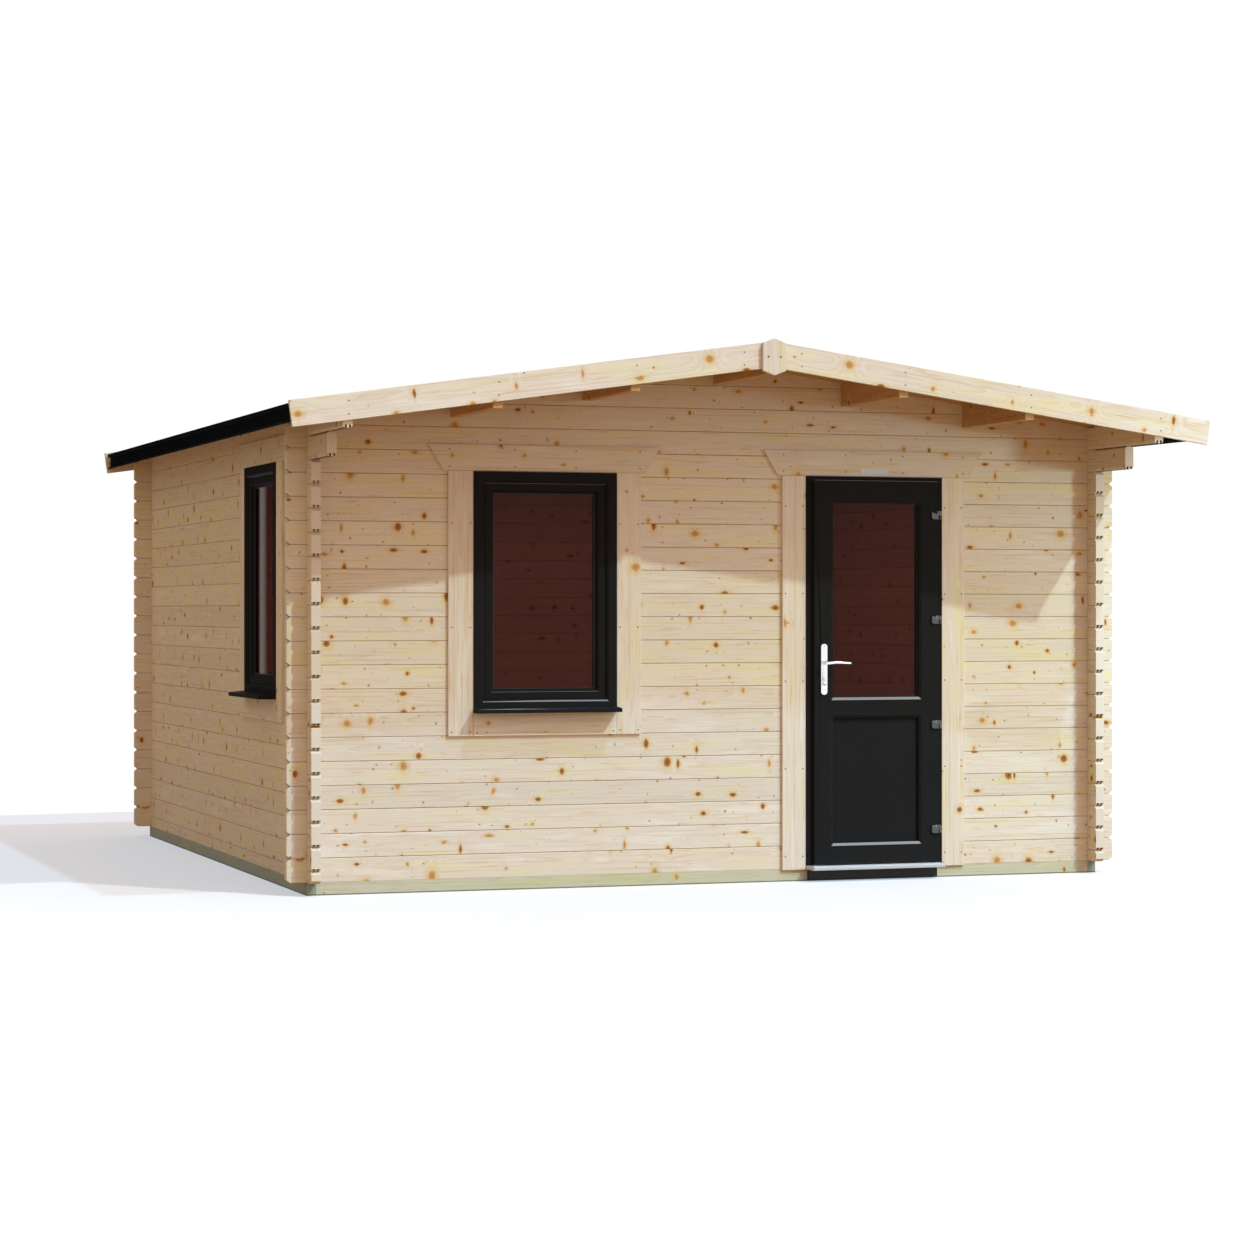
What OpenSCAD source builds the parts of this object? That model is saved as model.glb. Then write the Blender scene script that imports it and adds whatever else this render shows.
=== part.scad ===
// Log cabin with a gable roof, one glazed door and two windows.
// Millimetres. X runs right along the front, Y runs back, Z up; the ground is Z = 0
// and the origin is the middle of the four walls' outer faces, on the ground.

/* [Walls] */
// Width over the side walls' outer faces
cabin_w = 4000; // [3200:50:4400]
// Depth over the front and back walls' outer faces
cabin_d = 4000; // [3200:50:4800]
// Height of one log course
log_h = 110; // [108:1:113]
// Thickness of a log
log_t = 44; // [34:1:58]
// How far log ends run past the crossing wall
log_end = 93; // [70:1:120]
// Chamfer along each log's long edges
log_chamfer = 3; // [2:0.5:8]
// Length of the cut at the corners of a log's end
end_cut_l = 18; // [6:1:24]
// Height of the cut at the corners of a log's end
end_cut_h = 13.5; // [6:0.5:18]
// Width of each of the two grooves that show in a log's end
groove_w = 9.5; // [6:0.5:12]
// Height of the grooves in a log's end
groove_h = 14; // [8:0.5:18]
// Distance of each groove's middle from the log's middle
groove_x = 9.4; // [7:0.1:11]
// Depth of the grooves in a log's end
groove_d = 20; // [10:1:30]
// Gap at each side of a cross notch
notch_gap = 0.5; // [0.2:0.1:1]
// How far the lower corbel log runs out in front of the front wall
corbel_out = 398; // [300:1:450]
// Radius along the corbel logs' long edges
corbel_r = 15; // [7:0.5:18]

/* [Base and floor] */
// Height of the base boards
base_h = 60; // [45:1:80]
// Thickness of the base boards and bearers
base_t = 44; // [34:1:58]
// Number of floor bearers between the side base boards
bearer_n = 7; // [5:2:9]
// Thickness of the floorboards
floor_t = 19; // [16:1:28]
// Gap between the floorboards and the walls
floor_gap = 5; // [2:1:10]

/* [Roof] */
// Pitch of each slope in degrees
roof_pitch = 8; // [6:0.5:10]
// Roof overhang in front of the front wall
overhang_front = 695; // [500:5:800]
// Roof overhang behind the back wall
overhang_back = 105; // [100:1:300]
// Roof overhang past each side wall
overhang_side = 200; // [160:5:300]
// Height of a purlin
purlin_h = 110; // [90:1:140]
// Distance of the inner purlins from the ridge
purlin_inner_x = 655; // [500:5:760]
// Distance of the outer purlins from the ridge
purlin_outer_x = 1298; // [1100:5:1450]
// Thickness of the roof boards
roof_board_t = 19; // [16:1:28]
// Thickness of the roof covering
covering_t = 6; // [3:0.5:12]
// Height of the bargeboards, square to the slope
barge_h = 118; // [100:1:145]
// Thickness of the bargeboards
barge_t = 18; // [15:1:28]
// How far a bargeboard stands above the roof covering
barge_up = 13; // [4:1:25]
// How far a bargeboard runs past the roof boards' edge
barge_past = 43; // [32:1:60]
// Width of the finial plate
finial_w = 112; // [80:1:150]
// Height of the finial plate from point to point
finial_h = 169; // [150:1:220]
// Height of each point of the finial plate
finial_point = 21; // [10:1:35]
// Thickness of the finial plate
finial_t = 20; // [12:1:28]
// Height of the finial's point above the bargeboards' top
finial_up = 12; // [4:1:20]
// Height of the eaves trim
eaves_h = 85; // [70:1:110]
// Thickness of the eaves trim's web
eaves_t = 10; // [6:1:16]
// How far the eaves trim's lips stand out from its web
eaves_lip = 16; // [8:1:20]
// Thickness of the eaves trim's lips
eaves_lip_t = 12; // [8:1:14]
// Chamfer at the eaves trim's lips
eaves_edge = 2; // [1:0.5:3]

/* [Trim boards] */
// Width of the trim boards
trim_w = 121; // [90:1:140]
// Thickness of the trim boards
trim_t = 14; // [10:1:16]
// Gap between a frame and the trim boards around it
trim_fit = 0.5; // [0.3:0.1:2]
// Gap where two trim boards meet
trim_joint = 0.6; // [0.3:0.1:1.5]
// How far the head board's lower corner runs past the side board
head_past = 24; // [0:1:40]
// How far the head board's slanted end runs outwards
head_slant = 72; // [0:1:90]

/* [Windows] */
// Width of a window frame
window_w = 700; // [600:2:750]
// Height of a window frame, hung from the door frame's top line
window_h = 1114; // [900:2:1160]
// Width of the trim board under a window
window_foot_h = 107; // [70:1:121]
// Centre of the front window, left of the cabin's middle
window_front_x = 864; // [820:1:980]
// Centre of the side window, in front of the cabin's middle
window_side_y = 1065; // [0:5:1100]
// Width of the frame's face
window_bar = 42; // [34:1:70]
// Chamfer on the frame's inner edge
window_edge = 12; // [4:1:13]
// How far the sash sits back from the frame's face
sash_back = 14; // [11:1:20]
// Width of the sash's flat face
sash_face = 33; // [24:1:40]
// Gap between sash and frame
sash_gap = 1; // [0.5:0.1:2]
// Width of the sloping glazing bead
bead_w = 13; // [8:1:30]
// How far the glass sits back from the frame's face
glass_back = 35; // [28:1:36]
// Thickness of a sealed glazing unit
glass_t = 24; // [16:1:26]
// How far glass and panels run into their grooves
glass_bite = 8; // [6:1:10]
// Gap all round glass and panels in their grooves
groove_gap = 0.5; // [0.2:0.1:1]
// How far the window sill stands out from the frame's face
sill_out = 78; // [50:1:100]
// Height of the sill's nose
sill_nose = 18; // [10:1:20]
// How far the sill's underside lies below the frame
sill_drop = 9; // [6:0.5:14]
// How far the sill's back covers the frame
sill_cover = 16; // [14:0.5:24]

/* [Frames] */
// Depth of the window and door frames
frame_d = 64; // [60:1:80]
// How far the frames stand out from the wall
frame_proud = 20; // [17:1:26]
// Gap between a frame and the logs around it
frame_gap = 4; // [2:1:8]

/* [Door] */
// Centre of the door, right of the cabin's middle
door_x = 802; // [760:1:880]
// Width of the door frame
door_frame_w = 713; // [690:1:800]
// Top of the door frame above the base
door_frame_top = 1888; // [1860:1:1905]
// Width of the door frame's face at the sides
door_bar = 38; // [34:1:50]
// Height of the door frame's head
door_head = 26; // [22:1:50]
// How far the leaf's flange laps over the frame at the sides and the top
leaf_lap = 6; // [3:0.5:8]
// Gap between the leaf and the threshold
leaf_foot_gap = 5; // [5:0.5:10]
// Thickness of the leaf's flange
flange_t = 17; // [12:1:20]
// How far the flange laps past the leaf's body
flange_lap = 20; // [16:1:24]
// Seal gap between the flange and the frame's face
seal_gap = 5; // [5:0.5:8]
// Thickness of the leaf
leaf_t = 70; // [60:1:76]
// Width of the leaf's stiles and of its bottom rail
stile_w = 101; // [90:1:115]
// Height of the leaf's top rail
top_rail_h = 109; // [90:1:125]
// Underside of the middle rail above the base
mid_rail_bottom = 721; // [600:1:800]
// Height of the middle rail between panel and glass
mid_rail_h = 102; // [80:1:130]
// How far glass and panel sit back from the leaf's face
leaf_glass_back = 20; // [14:1:22]
// Width of the sloping bead round the door's glass and panel
leaf_bead = 14; // [8:1:20]
// Depth of the door's sloping bead
leaf_bead_d = 7; // [4:0.5:10]
// Height of the threshold at the frame
threshold_h = 16; // [8:0.5:20]
// How far the threshold runs out in front of the frame
threshold_out = 95; // [60:1:110]
// How much shorter the threshold's nose is at each end than the frame is wide
threshold_inset = 8; // [0:1:30]
// Fall of the threshold from frame to nose
threshold_fall = 9; // [4:0.5:9]
// Thickness of the threshold's sheet
threshold_sheet = 4; // [2:0.5:4]
// Height of the threshold's nose
threshold_nose = 10; // [6:1:14]
// How far the door's side trims run down past the base's top
door_trim_down = 5; // [0:1:10]

/* [Door fittings] */
// Height of a hinge
hinge_h = 40; // [30:1:60]
// Radius of a hinge barrel
barrel_r = 8; // [7:0.5:10]
// Radius of a hinge pin
pin_r = 4; // [3:0.5:5]
// Radial clearance of turning pins and spindles
pin_gap = 0.05; // [0.02:0.01:0.1]
// Distance of the hinge axis from the leaf's edge
hinge_side = 10; // [10:0.5:11]
// Height of the bracket's knuckle under a barrel
bracket_h = 16; // [10:1:20]
// Gap between a barrel and its bracket
barrel_gap = 1; // [0.5:0.1:2]
// How far a hinge bracket runs out on the frame from the hinge's axis
bracket_out = 11; // [9:1:16]
// How far a hinge flag stands out from the leaf
flag_t = 8; // [6:0.5:10]
// Width of the flag on the leaf
flag_w = 36; // [26:1:60]
// Radius of the flag's outer corners
flag_r = 12; // [6:1:14]
// Middle of the lowest hinge above the base
hinge_low = 178; // [150:1:250]
// Middle of the highest hinge above the base
hinge_high = 1704; // [1600:1:1750]
// Height of the lever's axis above the base
lever_z = 988; // [930:1:1040]
// Distance of the lever's axis from the leaf's edge
lever_in = 48; // [42:1:60]
// Length of the lever
lever_l = 128; // [100:1:140]
// Radius of the lever's grip
lever_r = 7; // [6:0.5:9]
// Radius of the lever's neck
neck_r = 9; // [8:0.5:10]
// Length of the lever's neck
neck_l = 36; // [30:1:46]
// Radius of the spindle
spindle_r = 5; // [4:0.5:6]
// Gap between the spindle and the leaf
spindle_gap = 4; // [2:0.5:6]
// Gap between a lever and its backplate
lever_gap = 0.5; // [0.2:0.1:1]
// Width of a handle backplate
plate_w = 32; // [26:1:38]
// Height of a handle backplate
plate_h = 245; // [200:1:260]
// Thickness of a handle backplate
plate_t = 8; // [5:0.5:10]
// Height of the lever's axis above the backplate's middle
lever_up = 30; // [10:1:50]
// Distance from the lever's axis down to the lock
lock_drop = 92; // [70:1:92]
// Radius of the lock's recess in a backplate
lock_r = 8; // [6:0.5:9]
// Depth of the lock's recess
lock_d = 3; // [2:0.5:4]

/* [Hidden] */

$fn = 48;
pine = "#dccba6";
pine_dark = "#c9ad80";
treated = "#a8a584";
frame_black = "#262728";
steel = "#c8cacc";

side_courses = 19;              // full courses in a side wall, on a starter of half a log
door_course = floor(door_frame_top / log_h);    // whole courses below the door's head
half_w = cabin_w / 2;
half_d = cabin_d / 2;
side_top = (side_courses + 0.5) * log_h;
slope = tan(roof_pitch);
eave_x = half_w + overhang_side;
apex_z = roof_z(0);
roof_front = half_d + overhang_front;
roof_back = half_d + overhang_back;
front_courses = ceil(apex_z / log_h);
board_rise = roof_board_t / cos(roof_pitch);
covering_rise = covering_t / cos(roof_pitch);
frame_face = half_d + frame_proud;      // the door and front window frames' face, in front
big = cabin_w + cabin_d;
over = log_t / 10;                      // how far a cut runs past the faces it goes through

// Height of the roof boards' underside above the base, at distance x from the ridge
function roof_z(x) = side_top + slope * (half_w - abs(x));

// Section of a stack of logs: u is the outer face's side, thickness to the inside.
// starts lists the courses' joint heights, lowest first and top of the wall last.
function log_section(starts, top) = concat(
    [[0, starts[0]]],
    [for (i = [1 : len(starts) - 1]) each
        [[0, starts[i] - log_chamfer], [log_chamfer, starts[i]], [0, starts[i] + log_chamfer]]],
    [[0, top], [log_t, top]],
    [for (i = [len(starts) - 1 : -1 : 1]) each
        [[log_t, starts[i] + log_chamfer], [log_t - log_chamfer, starts[i]],
         [log_t, starts[i] - log_chamfer]]],
    [[log_t, starts[0]]]);

// One end of a stack of logs seen from its face: each log is [bottom, top, reach]
function end_line(logs) = [for (l = logs) each
    [[l[2] - end_cut_l, l[0]], [l[2], l[0] + end_cut_h],
     [l[2], l[1] - end_cut_h], [l[2] - end_cut_l, l[1]]]];

// The grooves that show above each joint in a stack of logs' ends, seen as log_section is
module end_grooves(joints) {
    for (z = joints, side = [-1, 1])
        translate([log_t / 2 + side * groove_x - groove_w / 2, z]) square([groove_w, groove_h]);
}
function flipped(points) = [for (i = [len(points) - 1 : -1 : 0]) [-points[i][0], points[i][1]]];

// Bars along X from a section of [depth, height] points, and along Y from [width, height]
module along_x(x0, x1) {
    translate([x0, 0, 0]) rotate([90, 0, 90]) linear_extrude(x1 - x0) children();
}
module along_y(y0, y1) {
    translate([0, y1, 0]) rotate([90, 0, 0]) linear_extrude(y1 - y0) children();
}
module block(x0, x1, y0, y1, z0, z1) {
    translate([x0, y0, z0]) cube([x1 - x0, y1 - y0, z1 - z0]);
}
module on_base() {
    translate([0, 0, base_h]) children();
}
module mirrored(back) {
    mirror([0, back ? 1 : 0, 0]) children();
}

// ---- Walls ----

front_starts = [for (i = [0 : front_courses - 1]) i * log_h];
side_starts = concat([0], [for (i = [0 : side_courses - 1]) (i + 0.5) * log_h]);
front_joints = [for (i = [1 : side_courses]) i * log_h];
front_logs = [for (z = front_starts) [z, z + log_h, half_w + log_end]];

module under_roof(y0, y1) {
    along_y(y0, y1) polygon([[-eave_x, -over], [eave_x, -over], [eave_x, roof_z(eave_x)],
        [0, apex_z], [-eave_x, roof_z(eave_x)]]);
}

// The cross notches of a front or back wall: the middle half of each log is kept
module front_notches() {
    for (side = [-1, 1], z = front_starts)
        translate([side * (half_w - log_t / 2), -half_d + log_t / 2, z])
            cube([log_t + 2 * notch_gap, log_t + 2 * over, log_h / 2], center = true);
}

// A whole front or back wall, outer face at -Y, before doors and windows are cut
module gable_wall() {
    difference() {
        intersection() {
            along_x(-big, big) translate([-half_d, 0])
                polygon(log_section(front_starts, front_courses * log_h));
            along_y(-half_d - over, -half_d + log_t + over)
                polygon(concat(end_line(front_logs), flipped(end_line(front_logs))));
            under_roof(-half_d - 2 * over, -half_d + log_t + 2 * over);
        }
        front_notches();
        for (side = [0, 1]) mirror([side, 0, 0])
            along_x(half_w + log_end - groove_d, half_w + log_end + over)
                translate([-half_d, 0]) end_grooves(front_joints);
        for (x = purlin_places) purlin_pocket(x);
    }
}

module purlin_pocket(x) {
    block(x - log_t / 2 - notch_gap, x + log_t / 2 + notch_gap, -half_d - 3 * over,
        -half_d + log_t + 3 * over, roof_z(x) - purlin_h, apex_z + over);
}

module front_part(x0, x1, z0, z1) {
    intersection() {
        gable_wall();
        block(x0, x1, -half_d - over, -half_d + log_t + over, z0, z1);
    }
}

door_hole = door_frame_w / 2 + frame_gap;
window_hole = window_w / 2 + frame_gap;
window_z = door_frame_top - window_h;   // the front window frame's underside
split_z = door_course * log_h;

module front_window_hole() {
    block(-window_front_x - window_hole, -window_front_x + window_hole, -half_d - 2 * over,
        -half_d + log_t + 2 * over, window_z - frame_gap - sill_drop,
        window_z + window_h + frame_gap);
}

module front_wall_left() {
    color(pine) on_base() difference() {
        front_part(-big, door_x - door_hole, 0, split_z);
        front_window_hole();
    }
}
module front_wall_right() {
    color(pine) on_base() front_part(door_x + door_hole, big, 0, split_z);
}
module front_gable() {
    color(pine) on_base() difference() {
        front_part(-big, big, split_z, apex_z + log_h);
        front_window_hole();
        block(door_x - door_hole, door_x + door_hole, -half_d - 2 * over,
            -half_d + log_t + 2 * over, 0, door_frame_top + frame_gap);
    }
}
module back_wall() {
    color(pine) mirror([0, 1, 0]) on_base() gable_wall();
}

function side_z(i) = i == 0 ? 0 : (i - 0.5) * log_h;
side_logs = [for (i = [0 : side_courses]) [side_z(i), side_z(i + 1), half_d + log_end]];
side_joints = [for (i = [1 : side_courses - 2]) side_z(i)];
corbel_logs = [[side_z(side_courses - 1), side_z(side_courses), half_d + corbel_out],
    [side_z(side_courses), side_top + log_h, roof_front]];      // the roof cuts the upper one

// A log with rounded long edges that runs from y0 to y1 along the left wall
module round_log(y0, y1, z0, z1) {
    along_y(y0, y1) translate([-half_w, z0]) {
        translate([corbel_r, 0]) square([log_t - 2 * corbel_r, z1 - z0]);
        translate([0, corbel_r]) square([log_t, z1 - z0 - 2 * corbel_r]);
        for (x = [corbel_r, log_t - corbel_r], z = [corbel_r, z1 - z0 - corbel_r])
            translate([x, z]) circle(corbel_r);
    }
}

// A side wall with its outer face at -X; the two top logs run out as corbels in front
module side_wall() {
    difference() {
        intersection() {
            union() {
                intersection() {
                    along_y(-half_d - log_end - over, half_d + log_end + over)
                        translate([-half_w, 0])
                        polygon(log_section(side_starts, side_top + log_t));
                    along_x(-half_w - over, -half_w + log_t + over)
                        polygon(concat(end_line(side_logs), flipped(end_line(side_logs))));
                }
                for (l = corbel_logs) round_log(-l[2], -half_d - log_end + end_cut_l, l[0], l[1]);
                round_log(half_d + log_end - end_cut_l, roof_back, corbel_logs[1][0],
                    corbel_logs[1][1]);
            }
            under_roof(-roof_front - over, roof_back + over);
        }
        for (back = [-1, 1], i = [0 : front_courses - 1])
            translate([-half_w + log_t / 2, back * (half_d - log_t / 2), (i + 0.5) * log_h])
                cube([log_t + 2 * over, log_t + 2 * notch_gap, log_h / 2], center = true);
        for (back = [0, 1]) mirror([0, back, 0])
            along_y(-half_d - log_end - over, -half_d - log_end + groove_d)
                translate([-half_w, 0]) end_grooves(side_joints);
        for (l = corbel_logs) along_y(-l[2] - over, -l[2] + groove_d)
            translate([-half_w, 0]) end_grooves([l[0]]);
        along_y(half_d + log_end - groove_d, half_d + log_end + over)
            translate([-half_w, 0]) end_grooves([corbel_logs[0][0]]);
        along_y(roof_back - groove_d, roof_back + over)
            translate([-half_w, 0]) end_grooves([corbel_logs[1][0]]);
    }
}
module left_wall() {
    color(pine) on_base() difference() {
        side_wall();
        block(-half_w - 2 * over, -half_w + log_t + 2 * over, -window_side_y - window_hole,
            -window_side_y + window_hole, side_window_z - frame_gap - sill_drop,
            side_window_z + window_h + frame_gap);
    }
}
module right_wall() {
    color(pine) mirror([1, 0, 0]) on_base() side_wall();
}
side_window_z = window_z + log_h / 2;

// ---- Base and floor ----

module base_front() {
    color(treated) block(-half_w + base_t, half_w - base_t, -half_d, -half_d + base_t, 0, base_h);
}
module base_back() {
    mirror([0, 1, 0]) base_front();
}
module base_left() {
    color(treated) block(-half_w, -half_w + base_t, -half_d, half_d, 0, base_h);
}
module base_right() {
    mirror([1, 0, 0]) base_left();
}
bearer_pitch = (cabin_w - base_t) / (bearer_n + 1);
module floor_bearers() {
    color(treated) for (i = [1 : bearer_n])
        translate([(i - (bearer_n + 1) / 2) * bearer_pitch - base_t / 2, -half_d + base_t, 0])
            cube([base_t, cabin_d - 2 * base_t, base_h]);
}
floor_half_w = half_w - log_t - floor_gap;
floor_half_d = half_d - log_t - floor_gap;
module floor_boards() {
    color(pine_dark) block(-floor_half_w, floor_half_w, -floor_half_d, floor_half_d,
        base_h, base_h + floor_t);
}

// ---- Roof ----

purlin_places = [-purlin_outer_x, -purlin_inner_x, 0, purlin_inner_x, purlin_outer_x];

module purlin(x) {
    low = roof_z(x) - purlin_h;
    color(pine_dark) on_base() intersection() {
        along_y(-roof_front, roof_back) polygon([
            [x - log_t / 2, low + log_chamfer], [x - log_t / 2 + log_chamfer, low],
            [x + log_t / 2 - log_chamfer, low], [x + log_t / 2, low + log_chamfer],
            [x + log_t / 2, apex_z + over], [x - log_t / 2, apex_z + over]]);
        under_roof(-roof_front - over, roof_back + over);
    }
}
module ridge_purlin() {
    purlin(0);
}
module purlins() {
    for (x = purlin_places) if (x != 0) purlin(x);
}

// A slab on the right-hand slope, from low to high above the roof boards' underside
module slope_slab(low, high) {
    on_base() along_y(-roof_front, roof_back) polygon([[0, apex_z + low],
        [eave_x, roof_z(eave_x) + low], [eave_x, roof_z(eave_x) + high], [0, apex_z + high]]);
}
module roof_boards_right() {
    color(pine_dark) slope_slab(0, board_rise);
}
module roof_boards_left() {
    mirror([1, 0, 0]) roof_boards_right();
}
module roof_covering() {
    low = board_rise;
    high = board_rise + covering_rise;
    eave_z = roof_z(eave_x);
    color("#1c1c1e") on_base() along_y(-roof_front, roof_back) polygon([
        [-eave_x, eave_z + low], [0, apex_z + low], [eave_x, eave_z + low],
        [eave_x, eave_z + high], [0, apex_z + high], [-eave_x, eave_z + high]]);
}

// Wrapped fascia with a lip along its top and a drip along its foot
module eaves_trim_right() {
    top = roof_z(eave_x) + board_rise + covering_rise;
    foot = top - eaves_h;
    web = eave_x + eaves_t;
    lip = web + eaves_lip;
    color("#151516") on_base() along_y(-roof_front, roof_back) polygon([
        [eave_x, top], [lip - eaves_edge, top], [lip, top - eaves_edge],
        [lip, top - eaves_lip_t], [web, top - eaves_lip_t - eaves_lip / 2],
        [web, foot + eaves_lip], [lip, foot + eaves_edge], [lip - eaves_edge, foot],
        [lip - 3 * eaves_edge, foot], [eave_x, foot + eaves_lip - eaves_edge]]);
}
module eaves_trim_left() {
    mirror([1, 0, 0]) eaves_trim_right();
}

barge_top = apex_z + board_rise + covering_rise + barge_up;     // at the ridge
barge_x = eave_x + barge_past;
module bargeboard() {
    rise = barge_h / cos(roof_pitch);
    foot_x = barge_x - barge_h * sin(roof_pitch);
    color(pine) on_base() along_y(-roof_front - barge_t, -roof_front) polygon([
        [0, barge_top], [0, barge_top - rise],
        [foot_x, barge_top - rise - slope * foot_x], [barge_x, barge_top - slope * barge_x]]);
}
module bargeboard_front_right() {
    bargeboard();
}
module bargeboard_front_left() {
    mirror([1, 0, 0]) bargeboard();
}
module bargeboard_back_right() {
    translate([0, roof_back - roof_front, 0]) mirror([0, 1, 0]) bargeboard();
}
module bargeboard_back_left() {
    mirror([1, 0, 0]) bargeboard_back_right();
}

module finial() {
    top = barge_top + finial_up;
    foot = top - finial_h;
    color(pine) on_base() along_y(-roof_front - barge_t - finial_t, -roof_front - barge_t)
        polygon([[0, top], [finial_w / 2, top - finial_point],
            [finial_w / 2, foot + finial_point], [0, foot],
            [-finial_w / 2, foot + finial_point], [-finial_w / 2, top - finial_point]]);
}
module finial_front() {
    finial();
}
module finial_back() {
    translate([0, roof_back - roof_front, 0]) mirror([0, 1, 0]) finial();
}

// ---- Windows ----
// Drawn with the frame's outer face at Y = 0 looking to -Y, the frame's middle at X = 0
// and its underside at Z = 0.

// A mitred opening, w by h at the back and wider by grow all round at the front
module mitred_cut(w, h, grow, y0, y1) {
    intersection() {
        linear_extrude(4 * h, center = true) polygon([[-w / 2 - grow, y0], [w / 2 + grow, y0],
            [w / 2, y1], [-w / 2, y1]]);
        rotate([90, 0, 90]) linear_extrude(4 * w, center = true) polygon([
            [y0, -h / 2 - grow], [y1, -h / 2], [y1, h / 2], [y0, h / 2 + grow]]);
    }
}
module centred_block(w, h, y0, y1) {
    translate([-w / 2, y0, -h / 2]) cube([w, y1 - y0, h]);
}

frame_in_w = window_w - 2 * window_bar - 2 * window_edge;
frame_in_h = window_h - 2 * window_bar - 2 * window_edge;
pane_w = frame_in_w - 2 * sash_gap - 2 * sash_face - 2 * bead_w;
pane_h = frame_in_h - 2 * sash_gap - 2 * sash_face - 2 * bead_w;

module window_frame() {
    color(frame_black) translate([0, 0, window_h / 2]) difference() {
        centred_block(window_w, window_h, 0, frame_d);
        centred_block(frame_in_w, frame_in_h, -over, frame_d + over);
        mitred_cut(frame_in_w, frame_in_h, window_edge, 0, window_edge);
    }
}
module window_sash() {
    color(frame_black) translate([0, 0, window_h / 2]) difference() {
        centred_block(frame_in_w - 2 * sash_gap, frame_in_h - 2 * sash_gap, sash_back, frame_d);
        centred_block(pane_w, pane_h, sash_back - over, frame_d + over);
        mitred_cut(pane_w, pane_h, bead_w, sash_back, glass_back);
        centred_block(pane_w + 2 * glass_bite + 2 * groove_gap,
            pane_h + 2 * glass_bite + 2 * groove_gap, glass_back, glass_back + glass_t);
    }
}
module window_glass() {
    color("#3e2220", 0.6) translate([0, 0, window_h / 2])
        centred_block(pane_w + 2 * glass_bite, pane_h + 2 * glass_bite, glass_back,
            glass_back + glass_t);
}
module window_sill() {
    half = window_w / 2;
    color(frame_black) translate([-half, 0, 0]) rotate([90, 0, 90]) linear_extrude(2 * half)
        polygon([[0, sill_cover], [-sill_out, sill_nose - sill_drop],
            [-sill_out, -sill_drop], [frame_d, -sill_drop], [frame_d, 0], [0, 0]]);
}
// The boards round a window: two sides, a foot between them and a head with slanted ends
module trim_side(inner, bottom, top) {
    block(inner, inner + trim_w, frame_proud - trim_t, frame_proud, bottom, top);
}
module trim_head(inner, z) {
    low = inner + trim_w + head_past;
    along_y(frame_proud - trim_t, frame_proud) polygon([[-low, z], [low, z],
        [low + head_slant, z + trim_w], [-low - head_slant, z + trim_w]]);
}
module window_trim() {
    inner = window_w / 2 + trim_fit;
    top = window_h + trim_fit;
    foot = -sill_drop - window_foot_h;
    color(pine) {
        for (side = [0, 1]) mirror([side, 0, 0]) trim_side(inner, foot, top - trim_joint);
        trim_head(inner, top);
        block(-inner + trim_joint, inner - trim_joint, frame_proud - trim_t, frame_proud, foot,
            -sill_drop - trim_joint);
    }
}
module in_front_wall() {
    on_base() translate([-window_front_x, -frame_face, window_z]) children();
}
module in_side_wall() {
    on_base() translate([-half_w - frame_proud, -window_side_y, side_window_z])
        rotate([0, 0, -90]) children();
}
module front_window_frame() { in_front_wall() window_frame(); }
module front_window_sash() { in_front_wall() window_sash(); }
module front_window_glass() { in_front_wall() window_glass(); }
module front_window_sill() { in_front_wall() window_sill(); }
module front_window_trim() { in_front_wall() window_trim(); }
module side_window_frame() { in_side_wall() window_frame(); }
module side_window_sash() { in_side_wall() window_sash(); }
module side_window_glass() { in_side_wall() window_glass(); }
module side_window_sill() { in_side_wall() window_sill(); }
module side_window_trim() { in_side_wall() window_trim(); }

// ---- Door ----
// Drawn with the frame's outer face at Y = 0, the door's middle at X = 0, base top at Z = 0.

module in_doorway() {
    on_base() translate([door_x, -frame_face, 0]) children();
}
module door_frame() {
    outer = door_frame_w / 2;
    color(frame_black) in_doorway() difference() {
        block(-outer, outer, 0, frame_d, threshold_h, door_frame_top);
        block(-outer + door_bar, outer - door_bar, -over, frame_d + over, 0,
            door_frame_top - door_head);
    }
}
// The sill under the frame, as wide as it, with a shorter sheet that falls to a nose in front
module door_threshold() {
    half = door_frame_w / 2;
    nose_half = half - threshold_inset;
    back = frame_proud - threshold_sheet;
    top = threshold_h - threshold_fall;
    color(steel) in_doorway() {
        block(-half, half, -threshold_sheet, back, threshold_h - threshold_sheet, threshold_h);
        block(-half, half, back, frame_d, 0, threshold_h);
        translate([-nose_half, 0, 0]) rotate([90, 0, 90]) linear_extrude(2 * nose_half)
            polygon([[0, threshold_h - threshold_sheet], [0, threshold_h],
                [-threshold_sheet, threshold_h], [-threshold_out, top],
                [-threshold_out, top - threshold_nose],
                [-threshold_out + threshold_sheet, top - threshold_nose],
                [-threshold_out + threshold_sheet, top - threshold_sheet],
                [-threshold_sheet, threshold_h - threshold_sheet]]);
    }
}
module door_trim() {
    inner = door_frame_w / 2 + trim_fit;
    top = door_frame_top + trim_fit;
    color(pine) in_doorway() {
        for (side = [0, 1]) mirror([side, 0, 0]) trim_side(inner, -door_trim_down, top - trim_joint);
        trim_head(inner, top);
    }
}

leaf_face = -seal_gap - flange_t;           // the leaf's outer face
leaf_w = door_frame_w - 2 * door_bar + 2 * leaf_lap;
leaf_top = door_frame_top - door_head + leaf_lap;
leaf_bottom = threshold_h + leaf_foot_gap;
leaf_pane_w = leaf_w - 2 * stile_w;
glass_low = mid_rail_bottom + mid_rail_h;
glass_high = leaf_top - top_rail_h;
panel_low = leaf_bottom + stile_w;

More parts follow.
